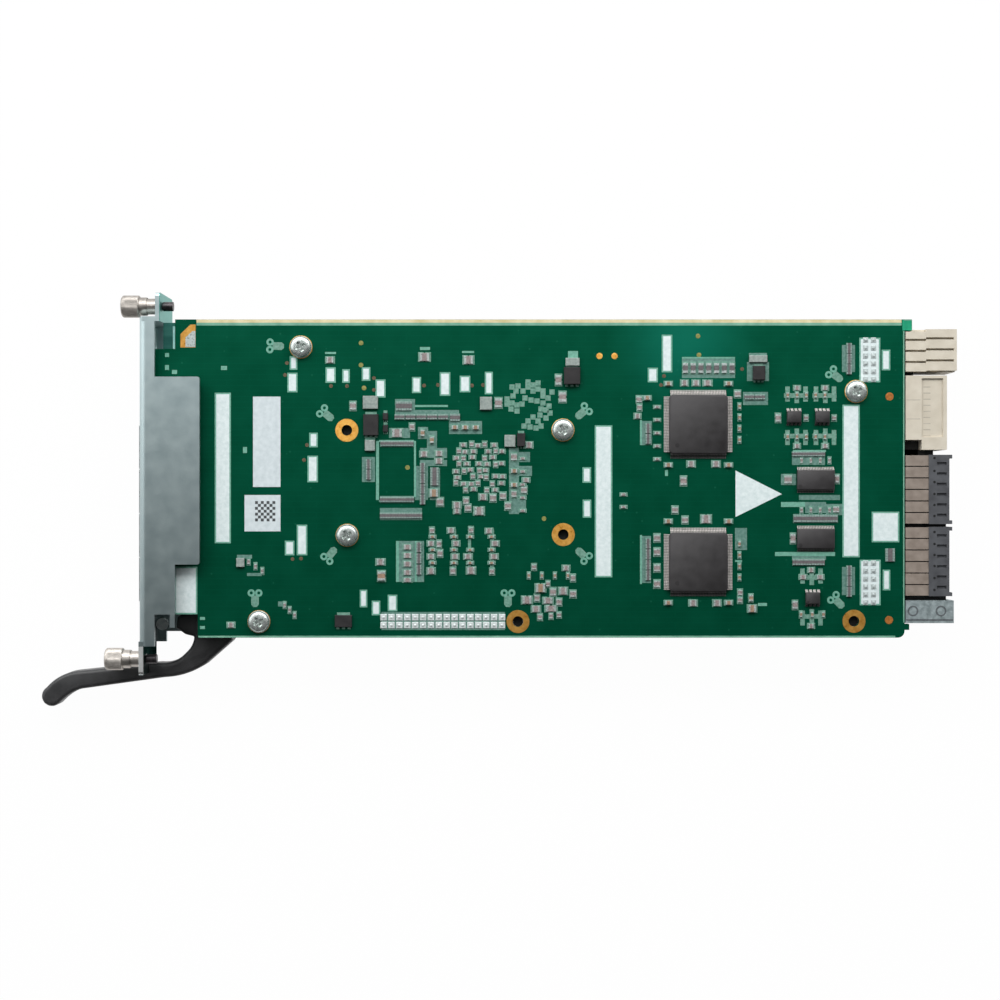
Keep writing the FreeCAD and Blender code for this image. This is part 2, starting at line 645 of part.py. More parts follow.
def captive_spring(seat, y):
    half = SPRING_WIRE / 2
    start = knob_end(seat) - KNOB_BORE_DEPTH + SPRING_END_GAP + half
    end = seat - SPRING_END_GAP - half
    steps = SPRING_TURNS * SPRING_STEPS
    sections = []
    for step in range(steps + 1):
        angle = 2 * math.pi * step / SPRING_STEPS
        x = start + (end - start) * step / steps
        corners = []
        for out, along in ((-half, -half), (half, -half), (half, half), (-half, half)):
            radius = SPRING_RADIUS + out
            corners.append(FreeCAD.Vector(x + along, y + radius * math.cos(angle),
                                          CAPTIVE_HEIGHT + radius * math.sin(angle)))
        sections.append(corners)

    def triangle(a, b, c):
        return Part.Face(Part.makePolygon([a, b, c, a]))

    faces = []
    for near, far in zip(sections, sections[1:]):
        for index in range(4):
            after = (index + 1) % 4
            faces.append(triangle(near[index], near[after], far[after]))
            faces.append(triangle(near[index], far[after], far[index]))
    for cap in (sections[0], sections[-1]):
        faces.append(Part.Face(Part.makePolygon(cap + cap[:1])))
    coil = Part.Solid(Part.Shell(faces))
    if coil.Volume < 0:
        coil.reverse()
    return coil


def lever_outline():

    def at(place):
        return FreeCAD.Vector(PIVOT_X + place[0], PIVOT_Y + place[1], 0)

    def on_hub(degrees):
        turn = math.radians(degrees)
        return at((LEVER_HUB_RADIUS * math.cos(turn), LEVER_HUB_RADIUS * math.sin(turn)))

    def run(places):
        points = [at(place) for place in places]
        triples = zip(points[0::2], points[1::2], points[2::2])
        return [Part.Arc(first, middle, last).toShape() for first, middle, last in triples]

    tip_far = at((LEVER_TIP_X - LEVER_TIP_RADIUS, LEVER_TIP_Y))
    edges = [
        Part.makeLine(on_hub(125), at(LEVER_NOSE[0])),
        Part.makeLine(at(LEVER_NOSE[-1]), at(LEVER_UPPER[0])),
        Part.makeLine(at(LEVER_UPPER[-1]), at(LEVER_UPPER_TIP[0])),
        Part.Arc(at(LEVER_UPPER_TIP[-1]), tip_far, at(LEVER_LOWER_TIP[0])).toShape(),
        Part.makeLine(at(LEVER_LOWER_TIP[-1]), at(LEVER_LOWER[0])),
        Part.makeLine(at(LEVER_LOWER[-1]), at(LEVER_CLAW)),
        Part.makeLine(at(LEVER_CLAW), on_hub(10)),
        Part.Arc(on_hub(10), on_hub(70), on_hub(125)).toShape(),
    ]
    nose = [at(place) for place in LEVER_NOSE]
    edges += [Part.makeLine(first, last) for first, last in zip(nose, nose[1:])]
    for places in (LEVER_UPPER, LEVER_UPPER_TIP, LEVER_LOWER_TIP, LEVER_LOWER):
        edges += run(places)
    return Part.Face(Part.Wire(Part.__sortEdges__(edges)))


def ejector_lever():
    face = lever_outline()
    face.translate(FreeCAD.Vector(0, 0, LEVER_UNDERSIDE))
    arm = face.extrude(FreeCAD.Vector(0, 0, LEVER_THICKNESS))
    lever_top = LEVER_UNDERSIDE + LEVER_THICKNESS
    hub_top = BOARD_UNDERSIDE - BRACKET_SHEET - LEVER_HUB_GAP
    hub = octagon(PIVOT_X, PIVOT_Y, LEVER_COLLAR_RADIUS, lever_top, hub_top)
    bore = post(PIVOT_X, PIVOT_Y, PIVOT_RADIUS + PIVOT_FIT, LEVER_UNDERSIDE - 1, hub_top + 1)
    return arm.fuse(hub).cut(bore).removeSplitter()


def lever_pivot():
    head_top = LEVER_UNDERSIDE - LEVER_HUB_GAP
    head = octagon(PIVOT_X, PIVOT_Y, PIVOT_HEAD_RADIUS, head_top - PIVOT_HEAD_HEIGHT, head_top)
    return head.fuse(post(PIVOT_X, PIVOT_Y, PIVOT_RADIUS, head_top, BOARD_UNDERSIDE)).removeSplitter()


def lever_bracket():
    low = BOARD_UNDERSIDE - BRACKET_SHEET
    upper = port_centres()[-1] - CAGE_WIDTH / 2 - LEVER_BRACKET_GAP
    base = block(LEVER_BRACKET_FRONT, LEVER_BRACKET_REAR, BOARD_LOWER_EDGE, upper, low, BOARD_UNDERSIDE)
    holes = [post(PIVOT_X, PIVOT_Y, PIVOT_RADIUS, low - 1, BOARD_UNDERSIDE + 1)]
    x, y = LEVER_BRACKET_SCREW
    base = base.fuse(centred(x, y, BOSS_SIDE, BOSS_SIDE, low - BOSS_DEPTH, low))
    holes.append(screw_thread(x, y))
    return base.cut(holes).removeSplitter()


def panel_bracket():
    low = BOARD_UNDERSIDE - BRACKET_SHEET
    front = PANEL_FRONT + UPPER_EAR_SETBACK + SHEET
    inner = PANEL_UPPER_END - SHEET
    base = block(front, PANEL_BRACKET_REAR, PANEL_BRACKET_LOWER, PANEL_BRACKET_UPPER, low, BOARD_UNDERSIDE)
    reach = block(front, UPPER_NOTCH_REAR, PANEL_BRACKET_UPPER, inner, low, BOARD_UNDERSIDE)
    leg = block(front, UPPER_NOTCH_REAR, inner - BRACKET_SHEET, inner,
                low - PANEL_BRACKET_LEG, BOARD_UNDERSIDE)
    x, y = PANEL_BRACKET_SCREW
    boss = centred(x, y, BOSS_SIDE, BOSS_SIDE, low - BOSS_DEPTH, low)
    return base.fuse([reach, leg, boss]).cut(screw_thread(x, y)).removeSplitter()


def panel_foot():
    low = BOARD_UNDERSIDE - BRACKET_SHEET
    back = PANEL_FRONT + SHEET
    base = block(back, back + FOOT_LENGTH, LOWER_NOTCH_EDGE, FOOT_UPPER, low, BOARD_UNDERSIDE)
    leg = block(back, back + BRACKET_SHEET, LOWER_NOTCH_EDGE, FOOT_UPPER,
                SHEET + BEND_RADIUS, BOARD_UNDERSIDE)
    return joined(base, [leg])


def uplink_cage(y):
    front = PANEL_FRONT - CAGE_PROUD
    rear = front + CAGE_LENGTH
    low = BOARD_UNDERSIDE - CAGE_HEIGHT
    half = CAGE_WIDTH / 2
    shell = block(front, rear, y - half, y + half, low, BOARD_UNDERSIDE)
    inside = block(front - 1, rear - CAGE_WALL, y - half + CAGE_WALL, y + half - CAGE_WALL,
                   low + CAGE_WALL, BOARD_UNDERSIDE - CAGE_WALL)
    socket_front = rear - SOCKET_FROM_END - SOCKET_LENGTH - PORT_GAP
    window = block(socket_front, rear - SOCKET_FROM_END + PORT_GAP, y - SOCKET_WIDTH / 2 - PORT_GAP,
                   y + SOCKET_WIDTH / 2 + PORT_GAP, BOARD_UNDERSIDE - CAGE_WALL - 1, BOARD_UNDERSIDE + 1)
    return shell.cut([inside, window])


def uplink_socket(y):
    rear = PANEL_FRONT - CAGE_PROUD + CAGE_LENGTH - SOCKET_FROM_END
    front = rear - SOCKET_LENGTH
    half = SOCKET_WIDTH / 2
    body = block(front, rear, y - half, y + half, BOARD_UNDERSIDE - SOCKET_HEIGHT, BOARD_UNDERSIDE)
    middle = BOARD_UNDERSIDE - SOCKET_HEIGHT / 2
    slot = block(front - 1, front + SOCKET_SLOT_DEPTH, y - half + 1, y + half - 1,
                 middle - SOCKET_SLOT_HEIGHT / 2, middle + SOCKET_SLOT_HEIGHT / 2)
    return body.cut(slot)


def jack_shell():
    y = jack_middle()
    front = PANEL_FRONT - JACK_PROUD
    low = BOARD_UNDERSIDE - JACK_HEIGHT
    half = JACK_WIDTH / 2
    shell = block(front, front + JACK_LENGTH, y - half, y + half, low, BOARD_UNDERSIDE)
    inner = half - JACK_WALL
    inside = block(front - 1, front + JACK_LENGTH - JACK_WALL, y - inner, y + inner,
                   low + JACK_WALL, BOARD_UNDERSIDE - JACK_WALL)
    return shell.cut(inside)


def jack_insert():
    y = jack_middle()
    front = PANEL_FRONT - JACK_PROUD + 0.3
    rear = PANEL_FRONT - JACK_PROUD + JACK_LENGTH - JACK_WALL
    low = BOARD_UNDERSIDE - JACK_HEIGHT + JACK_WALL
    high = BOARD_UNDERSIDE - JACK_WALL
    half = JACK_WIDTH / 2 - JACK_WALL
    body = block(front, rear, y - half, y + half, low, high)
    middle = (low + high) / 2
    end = front + JACK_MOUTH_DEPTH
    mouth_low = middle - JACK_MOUTH_HEIGHT / 2
    mouth = block(front - 1, end, y - JACK_MOUTH_WIDTH / 2, y + JACK_MOUTH_WIDTH / 2,
                  mouth_low, middle + JACK_MOUTH_HEIGHT / 2)
    key = block(front - 1, end, y - JACK_KEY_WIDTH / 2, y + JACK_KEY_WIDTH / 2,
                mouth_low - JACK_KEY_HEIGHT, middle)
    return body.cut([mouth, key])


def status_lights():
    body_start = PANEL_FRONT + SHEET + PORT_GAP
    middle = (light_places()[0] + light_places()[-1]) / 2
    body = block(body_start, body_start + LIGHT_BODY_LENGTH, middle - LIGHT_BODY_WIDTH / 2,
                 middle + LIGHT_BODY_WIDTH / 2, LIGHT_HEIGHT - LIGHT_SIDE, BOARD_UNDERSIDE)
    rods = [light_rod(PANEL_FRONT - PORT_GAP, body_start, y, LIGHT_SIDE) for y in light_places()]
    return joined(body, rods)


def rear_block(x1, upper, lower, top=0.0):
    return block(REAR_START, x1, lower, upper, REAR_UNDERSIDE, BOARD_UNDERSIDE + top)


def overhang(x0, x1, lower, upper):
    return block(x0, x1, lower, upper, REAR_UNDERSIDE, BOARD_TOP + CONNECTOR_RISE)


def power_connector():
    start = BOARD_REAR + CONNECTOR_GAP
    body = rear_block(POWER_END, POWER_UPPER - 0.6, POWER_LOWER)
    outer = overhang(start, POWER_STEP, POWER_LOWER, POWER_UPPER - 1.4)
    shroud = overhang(POWER_STEP, POWER_END, POWER_LOWER + 0.3, POWER_UPPER - 0.6)
    body = body.fuse([outer, shroud])
    pitch = (POWER_UPPER - POWER_LOWER) / POWER_RIBS
    top = BOARD_TOP + CONNECTOR_RISE
    cuts = []
    for index in range(1, POWER_RIBS):
        y = POWER_LOWER + pitch * index
        front_y = y - 0.5
        cuts.append(block(start - 1, POWER_STEP, front_y - POWER_GROOVE / 2, front_y + POWER_GROOVE / 2,
                          top - POWER_GROOVE_DEPTH, top + 1))
        cuts.append(block(POWER_STEP, POWER_END - 0.9, y - POWER_GROOVE / 2, y + POWER_GROOVE / 2,
                          top - POWER_GROOVE_DEPTH, top + 1))
    for index in range(POWER_RIBS):
        y = POWER_LOWER + pitch * (index + 0.5)
        cuts.append(block(POWER_END - 8, POWER_END + 1, y - 0.6, y + 0.6,
                          REAR_UNDERSIDE + 2, BOARD_UNDERSIDE - 2))
    return body.cut(cuts).removeSplitter()


def signal_connector():
    start = BOARD_REAR + CONNECTOR_GAP
    body = rear_block(SIGNAL_END, SIGNAL_UPPER, SIGNAL_LOWER)
    outer = overhang(start, SIGNAL_STEP, SIGNAL_LOWER, SIGNAL_UPPER)
    shroud = overhang(SIGNAL_STEP, SIGNAL_END, SIGNAL_LIP_LOWER, SIGNAL_UPPER)
    body = body.fuse([outer, shroud])
    top = BOARD_TOP + CONNECTOR_RISE
    cuts = [block(SIGNAL_STEP, SIGNAL_END - 1.2, SIGNAL_LOWER + 0.9, SIGNAL_UPPER - 0.9,
                  top - 0.6, top + 1)]
    pitch = (SIGNAL_UPPER - SIGNAL_LOWER - 1) / SIGNAL_CAVITIES
    for index in range(SIGNAL_CAVITIES):
        y = SIGNAL_LOWER + 0.5 + pitch * (index + 0.5)
        cuts.append(block(SIGNAL_END - 6, SIGNAL_END + 1, y - 0.5, y + 0.5,
                          REAR_UNDERSIDE + 1.5, BOARD_UNDERSIDE - 1))
    return body.cut(cuts).removeSplitter()


def fast_upper(index):
    return FAST_UPPER - FAST_PITCH * index


def fast_housing(index):
    upper = fast_upper(index)
    lower = upper - FAST_WIDTH
    top = BOARD_TOP + CONNECTOR_RISE
    body = overhang(FAST_HOUSING_START, FAST_END, lower, upper)
    lips = [block(FAST_HOUSING_START, FAST_FLANGE_END, lower, lower + 1.2, REAR_UNDERSIDE, top)]
    lips.append(block(FAST_HOUSING_START, FAST_FLANGE_END, upper - 1.2, upper, REAR_UNDERSIDE, top))
    body = body.fuse(lips)
    pitch = (FAST_WIDTH - 2.4) / FAST_WAFERS
    cuts = []
    for wafer in range(FAST_WAFERS):
        y = lower + 1.2 + pitch * (wafer + 0.5)
        cuts.append(block(FAST_END - FAST_SLOT_DEPTH, FAST_END + 2, y - FAST_SLOT_WIDTH / 2,
                          y + FAST_SLOT_WIDTH / 2, REAR_UNDERSIDE + 1.5, top - 1.2))
        cuts.append(block(FAST_HOUSING_START + 2.6, FAST_END - 0.9, y - 0.5, y + 0.5, top - 0.6, top + 1))
    return body.cut(cuts).removeSplitter()


def fast_wafers(index):
    upper = fast_upper(index)
    lower = upper - FAST_WIDTH
    pitch = FAST_WIDTH / FAST_WAFERS
    top = BOARD_TOP + CONNECTOR_RISE - 0.3
    wafers = []
    for wafer in range(FAST_WAFERS):
        y0 = lower + pitch * wafer + FAST_WAFER_GAP / 2
        y1 = lower + pitch * (wafer + 1) - FAST_WAFER_GAP / 2
        tail = block(REAR_START, BOARD_REAR + CONNECTOR_GAP, y0, y1, REAR_UNDERSIDE + 0.6, BOARD_UNDERSIDE)
        nose = block(BOARD_REAR + CONNECTOR_GAP, FAST_HOUSING_START, y0, y1, REAR_UNDERSIDE + 0.6, top)
        wafers.append(joined(tail, [nose]))
    return wafers


def guide_block():
    start = BOARD_REAR + CONNECTOR_GAP
    low = BOARD_UNDERSIDE - GUIDE_HEIGHT
    top = BOARD_TOP + CONNECTOR_RISE - 0.4
    body = block(REAR_START, GUIDE_END, GUIDE_LOWER, GUIDE_UPPER, low, BOARD_UNDERSIDE)
    body = body.fuse(block(start, GUIDE_END, GUIDE_LOWER, GUIDE_UPPER, low, top))
    middle = (GUIDE_UPPER + GUIDE_LOWER) / 2
    z = BOARD_UNDERSIDE - GUIDE_HEIGHT / 2 + 0.6
    bore = bar(GUIDE_END - GUIDE_BORE_DEPTH, GUIDE_END + 1, middle, z, GUIDE_BORE)
    return body.cut(bore).removeSplitter()


def gull_row(x, y, length, reach, height, turn):
    seat = BOARD_TOP
    shoulder = seat + CHIP_STANDOFF + height * 0.45
    half = length / 2
    bend = reach - LEAD_SHOULDER
    foot = block(bend, reach, -half, half, seat, seat + LEAD_THICKNESS)
    knee = block(bend, bend + LEAD_THICKNESS, -half, half, seat, shoulder)
    arm = block(-0.2, bend + LEAD_THICKNESS, -half, half, shoulder - LEAD_THICKNESS, shoulder)
    row = joined(foot, [knee, arm])
    row.rotate(FreeCAD.Vector(0, 0, 0), FreeCAD.Vector(0, 0, 1), turn)
    row.translate(FreeCAD.Vector(x, y, 0))
    return row


def chip_body(x, y, length, width, height, edge):
    low = BOARD_TOP + CHIP_STANDOFF
    body = centred(x, y, length, width, low, low + height)
    rims = [e for e in body.Edges if abs(e.CenterOfMass.z - low - height) < 1e-6]
    return body.makeChamfer(edge, rims)


def quad_chip(y):
    x = QUAD_CHIP_X
    half = QUAD_CHIP_SIDE / 2
    body = chip_body(x, y, QUAD_CHIP_SIDE, QUAD_CHIP_SIDE, QUAD_CHIP_HEIGHT, 0.3)
    rows = []
    for turn in (0, 90, 180, 270):
        angle = math.radians(turn)
        edge_x = x + half * math.cos(angle)
        edge_y = y + half * math.sin(angle)
        rows.append(gull_row(edge_x, edge_y, QUAD_LEAD_ROW, QUAD_LEAD_REACH, QUAD_CHIP_HEIGHT, turn))
    return joined(body, rows)


def two_row_chip(x, y, length, width, height, reach, row_share):
    body = chip_body(x, y, length, width, height, 0.2)
    rows = []
    for turn in (90, 270):
        edge_y = y + width / 2 * math.sin(math.radians(turn))
        rows.append(gull_row(x, edge_y, length * row_share, reach, height, turn))
    return joined(body, rows)


def bus_chip(y):
    return two_row_chip(BUS_CHIP_X, y, BUS_CHIP_LENGTH, BUS_CHIP_WIDTH, BUS_CHIP_HEIGHT,
                        BUS_LEAD_REACH, 0.96)


def small_chips():
    return [two_row_chip(x, y, SMALL_CHIP_LENGTH, SMALL_CHIP_WIDTH, SMALL_CHIP_HEIGHT,
                         SMALL_LEAD_REACH, 0.9) for x, y in SMALL_CHIP_PLACES]


def regulators():
    return [chip_body(x, y, length, width, REGULATOR_HEIGHT, 0.25)
            for x, y, length, width in REGULATOR_PLACES]


def chip_row(size, row, count, upright):
    length, width, height = size
    x, y, step_x, step_y = row
    if upright:
        length, width = width, length
    solids = []
    for index in range(count):
        solids.append(centred(x + step_x * index, y + step_y * index, length, width,
                              BOARD_TOP, BOARD_TOP + height))
    return solids


def moved_row(row, y):
    return (row[0], row[1] + y, row[2], row[3])


def chip_capacitors():
    x, offset, step_x, step_y = QUAD_CORNER_CAPS
    solids = []
    for middle in (QUAD_CHIP_UPPER_Y, QUAD_CHIP_LOWER_Y):
        solids += chip_row(CAP_LARGE, (x, middle + offset, step_x, step_y), 2, False)
        solids += chip_row(CAP_LARGE, (x, middle - offset, step_x, step_y), 2, False)
        solids += chip_row(CAP_SMALL, moved_row(QUAD_SIDE_CAPS, middle), 4, True)
    solids += chip_row(CAP_LARGE, SUPPLY_CAPS, 3, False)
    solids += chip_row(CAP_LARGE, FILTER_CAPS, 2, True)
    solids += chip_row(CAP_LARGE, EDGE_CAPS, 2, False)
    solids += chip_row(CAP_LARGE, FRONT_CAP, 1, False)
    solids += chip_row(CAP_LARGE, REAR_CAP, 1, True)
    for column in COLUMN_CAPS:
        solids += chip_row(CAP_SMALL, column, 3, False)
    solids += chip_row(CAP_SMALL, CLUSTER_CAPS, 4, True)
    solids += chip_row(CAP_SMALL, DRIVER_UPPER_CAPS, 5, True)
    solids += chip_row(CAP_SMALL, DRIVER_LOWER_CAPS, 5, True)
    solids += chip_row(CAP_SMALL, DRIVER_THIRD_CAPS, 3, True)
    return solids


def chip_resistors():
    solids = []
    solids += chip_row(RES_SMALL, EDGE_RESISTORS, 5, False)
    solids += chip_row(RES_SMALL, FIELD_RESISTORS, 5, False)
    solids += chip_row(RES_SMALL, BUS_UPPER_RESISTORS, 4, True)
    solids += chip_row(RES_SMALL, BUS_LOWER_RESISTORS, 4, True)
    solids += chip_row(RES_SMALL, MIDDLE_RESISTORS, 2, False)
    solids += chip_row(RES_SMALL, CORNER_RESISTORS, 3, True)
    solids += chip_row(RES_SMALL, FRONT_RESISTORS, 3, True)
    return solids


def chip_networks():
    solids = []
    solids += chip_row(NETWORK, FRONT_NETWORKS, 5, False)
    solids += chip_row(NETWORK, COMB_NETWORKS, 7, True)
    solids += chip_row(NETWORK, UPPER_HEADER_NETWORKS, 3, True)
    solids += chip_row(NETWORK, LOWER_HEADER_NETWORKS, 3, True)
    solids += chip_row(NETWORK, LOWER_QUAD_NETWORKS, 4, True)
    solids += chip_row(NETWORK, UPPER_QUAD_NETWORKS, 2, True)
    solids += chip_row(NETWORK, OUTLINE_NETWORKS, 2, True)
    solids += chip_row(NETWORK, FIELD_NETWORKS, 4, True)
    solids += chip_row(NETWORK, COLUMN_NETWORKS, 3, True)
    solids += chip_row(NETWORK, BRIDGE_NETWORKS, 2, False)
    return solids


def sink_chip_low():
    return BOARD_UNDERSIDE - SINK_CHIP_HEIGHT


def switch_chip():
    return centred(SINK_CHIP_X, SINK_CHIP_Y, SINK_CHIP_SIDE, SINK_CHIP_SIDE,
                   sink_chip_low(), BOARD_UNDERSIDE)


def thermal_pad():
    top = sink_chip_low()
    return centred(SINK_CHIP_X, SINK_CHIP_Y, PAD_SIDE, PAD_SIDE, top - PAD_THICKNESS, top)


def heat_sink():
    top = sink_chip_low() - PAD_THICKNESS
    low = top - SINK_BASE
    sink = centred(SINK_CHIP_X, SINK_CHIP_Y, SINK_LENGTH, SINK_WIDTH, low, top)
    first = SINK_CHIP_Y - SINK_WIDTH / 2
    pitch = (SINK_WIDTH - SINK_FIN_THICKNESS) / (SINK_FINS - 1)
    fins = []
    for index in range(SINK_FINS):
        y0 = first + pitch * index
        fins.append(block(SINK_CHIP_X - SINK_LENGTH / 2, SINK_CHIP_X + SINK_LENGTH / 2,
                          y0, y0 + SINK_FIN_THICKNESS, SINK_FIN_END, low))
    corners = (SINK_SCREW_1, SINK_SCREW_2, SINK_OPEN_1, SINK_OPEN_2)
    posts = [centred(x, y, BOSS_SIDE, BOSS_SIDE, top, BOARD_UNDERSIDE) for x, y in corners]
    holes = [screw_thread(x, y) for x, y in (SINK_SCREW_1, SINK_SCREW_2)]
    return joined(sink, fins + posts).cut(holes)


def processor_chip():
    low = BOARD_UNDERSIDE - PROCESSOR_HEIGHT
    return centred(PROCESSOR_X, PROCESSOR_Y, PROCESSOR_SIDE, PROCESSOR_SIDE, low, BOARD_UNDERSIDE)


def processor_sink():
    top = BOARD_UNDERSIDE - PROCESSOR_HEIGHT
    base = centred(PROCESSOR_X, PROCESSOR_Y, PROCESSOR_SINK_SIDE, PROCESSOR_SINK_SIDE, top - 2, top)
    pitch = (PROCESSOR_SINK_SIDE - PROCESSOR_PIN_SIDE) / (PROCESSOR_PINS - 1)
    first_x = PROCESSOR_X - PROCESSOR_SINK_SIDE / 2 + PROCESSOR_PIN_SIDE / 2
    fins = []
    for index in range(PROCESSOR_PINS):
        fins.append(centred(first_x + pitch * index, PROCESSOR_Y, PROCESSOR_PIN_SIDE, PROCESSOR_SINK_SIDE,
                            top - PROCESSOR_SINK_HEIGHT, top - 2))
    return joined(base, fins)


def memory_chips():
    low = BOARD_UNDERSIDE - MEMORY_HEIGHT
    return [centred(MEMORY_FIRST_X + MEMORY_PITCH * index, MEMORY_Y, MEMORY_WIDTH, MEMORY_LENGTH,
                    low, BOARD_UNDERSIDE) for index in range(MEMORY_COUNT)]


def store_chip():
    low = BOARD_UNDERSIDE - STORE_HEIGHT
    return centred(STORE_X, STORE_Y, STORE_LENGTH, STORE_WIDTH, low, BOARD_UNDERSIDE)


def network_chip():
    return centred(PHY_X, PHY_Y, PHY_SIDE, PHY_SIDE, BOARD_UNDERSIDE - PHY_HEIGHT, BOARD_UNDERSIDE)


def converter_module():
    low = BOARD_UNDERSIDE - CONVERTER_HEIGHT
    front = CONVERTER_REAR - CONVERTER_LENGTH
    lower = CONVERTER_UPPER - CONVERTER_WIDTH
    body = block(front, CONVERTER_REAR - 8, lower, CONVERTER_UPPER, low + CONVERTER_PLATE, BOARD_UNDERSIDE)
    base = block(front, CONVERTER_REAR, lower, CONVERTER_UPPER, low, low + CONVERTER_PLATE)
    x, y = CONVERTER_SCREW
    boss = centred(x, y, BOSS_SIDE, BOSS_SIDE - 1, low + CONVERTER_PLATE, BOARD_UNDERSIDE)
    return joined(body, [base, boss]).cut(screw_thread(x, y))


def power_coils():
    low = BOARD_UNDERSIDE - COIL_HEIGHT
    return [centred(COIL_FIRST_X + COIL_PITCH * index, COIL_Y, COIL_SIDE, COIL_SIDE, low, BOARD_UNDERSIDE)
            for index in range(COIL_COUNT)]


def bulk_capacitors():
    low = BOARD_UNDERSIDE - BULK_HEIGHT
    return [centred(BULK_FIRST_X + BULK_PITCH * index, BULK_Y, BULK_WIDTH, BULK_LENGTH,
                    low, BOARD_UNDERSIDE) for index in range(BULK_COUNT)]


def crystal_cans():
    low = BOARD_UNDERSIDE - CRYSTAL_HEIGHT
    return [centred(x, y, CRYSTAL_LENGTH, CRYSTAL_WIDTH, low, BOARD_UNDERSIDE) for x, y in CRYSTAL_PLACES]


def pin_header(place, columns, rows):
    x, y = place
    low = BOARD_UNDERSIDE - HEADER_BODY_HEIGHT
    body = centred(x, y, columns * HEADER_PITCH, rows * HEADER_PITCH, low, BOARD_UNDERSIDE)
    pins = []
    for column in range(columns):
        for line in range(rows):
            pin_x = x + (column - (columns - 1) / 2) * HEADER_PITCH
            pin_y = y + (line - (rows - 1) / 2) * HEADER_PITCH
            pins.append(centred(pin_x, pin_y, HEADER_PIN, HEADER_PIN, low - HEADER_PIN_LENGTH, low))
    return [body] + pins


def socket_header(place, columns, rows):
    x, y = place
    low = BOARD_UNDERSIDE - SOCKET_BODY_HEIGHT
    return centred(x, y, columns * HEADER_PITCH, rows * HEADER_PITCH, low, BOARD_UNDERSIDE)


save("circuit_board", circuit_board())
save("board_screws", board_screws())
save("front_panel", front_panel())
save("flange_rivet", flange_rivet())
upper_seat = PANEL_FRONT + UPPER_EAR_SETBACK
lower_seat = PANEL_FRONT
save("ferrules", [ferrule(upper_seat, UPPER_CAPTIVE_Y), ferrule(lower_seat, LOWER_CAPTIVE_Y)])
sides = (("upper", upper_seat, UPPER_CAPTIVE_Y), ("lower", lower_seat, LOWER_CAPTIVE_Y))
for side, seat, captive_y in sides:
    save(side + "_knob", captive_knob(seat, captive_y))
    save(side + "_captive_screw", captive_screw(seat, captive_y))
    save(side + "_spring", captive_spring(seat, captive_y))
save("ejector_lever", ejector_lever())
save("lever_pivot", lever_pivot())
save("lever_bracket", lever_bracket())
save("panel_bracket", panel_bracket())
save("panel_foot", panel_foot())
for number, port_y in enumerate(port_centres(), 1):
    save("uplink_cage_" + str(number), uplink_cage(port_y))
    save("uplink_socket_" + str(number), uplink_socket(port_y))
save("jack_shell", jack_shell())
save("jack_insert", jack_insert())
save("status_lights", status_lights())
save("power_connector", power_connector())
save("signal_connector", signal_connector())
for number in range(FAST_COUNT):
    save("fast_housing_" + str(number + 1), fast_housing(number))
    save("fast_wafers_" + str(number + 1), fast_wafers(number))
save("guide_block", guide_block())
save("quad_chip_upper", quad_chip(QUAD_CHIP_UPPER_Y))
save("quad_chip_lower", quad_chip(QUAD_CHIP_LOWER_Y))
save("bus_chip_upper", bus_chip(BUS_CHIP_UPPER_Y))
save("bus_chip_lower", bus_chip(BUS_CHIP_LOWER_Y))
save("small_chips", small_chips())
save("regulators", regulators())
save("chip_capacitors", chip_capacitors())
save("chip_resistors", chip_resistors())
save("chip_networks", chip_networks())
save("switch_chip", switch_chip())
save("thermal_pad", thermal_pad())
save("heat_sink", heat_sink())
save("processor_chip", processor_chip())
save("processor_sink", processor_sink())
save("memory_chips", memory_chips())
save("store_chip", store_chip())
save("network_chip", network_chip())
save("converter_module", converter_module())
save("power_coils", power_coils())
save("bulk_capacitors", bulk_capacitors())
save("crystal_cans", crystal_cans())
save("long_header", pin_header(LONG_HEADER, LONG_HEADER_COLUMN_COUNT, LONG_HEADER_ROW_COUNT))
save("upper_header", socket_header(UPPER_HEADER, SHORT_HEADER_COLUMN_COUNT, SHORT_HEADER_ROW_COUNT))
save("lower_header", socket_header(LOWER_HEADER, SHORT_HEADER_COLUMN_COUNT, SHORT_HEADER_ROW_COUNT))
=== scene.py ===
import logging
import math
from dataclasses import dataclass, field
from enum import Enum

import bmesh
import bpy
import numpy as np
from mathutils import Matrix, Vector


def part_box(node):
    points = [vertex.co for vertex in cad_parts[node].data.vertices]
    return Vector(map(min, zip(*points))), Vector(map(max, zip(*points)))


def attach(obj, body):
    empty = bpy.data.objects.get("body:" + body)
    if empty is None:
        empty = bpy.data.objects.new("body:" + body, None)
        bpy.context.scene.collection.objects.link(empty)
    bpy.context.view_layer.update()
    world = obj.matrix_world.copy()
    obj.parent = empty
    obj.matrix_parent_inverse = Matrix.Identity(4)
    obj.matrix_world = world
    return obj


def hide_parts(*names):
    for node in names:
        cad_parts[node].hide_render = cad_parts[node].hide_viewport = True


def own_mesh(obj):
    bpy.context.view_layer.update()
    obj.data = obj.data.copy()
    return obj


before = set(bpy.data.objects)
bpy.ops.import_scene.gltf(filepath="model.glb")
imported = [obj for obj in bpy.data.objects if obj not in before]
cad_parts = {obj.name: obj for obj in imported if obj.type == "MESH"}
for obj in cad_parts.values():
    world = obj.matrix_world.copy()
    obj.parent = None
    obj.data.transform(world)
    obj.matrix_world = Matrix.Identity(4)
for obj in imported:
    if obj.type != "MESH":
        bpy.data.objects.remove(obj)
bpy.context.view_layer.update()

LOG = logging.getLogger("uplink_card")
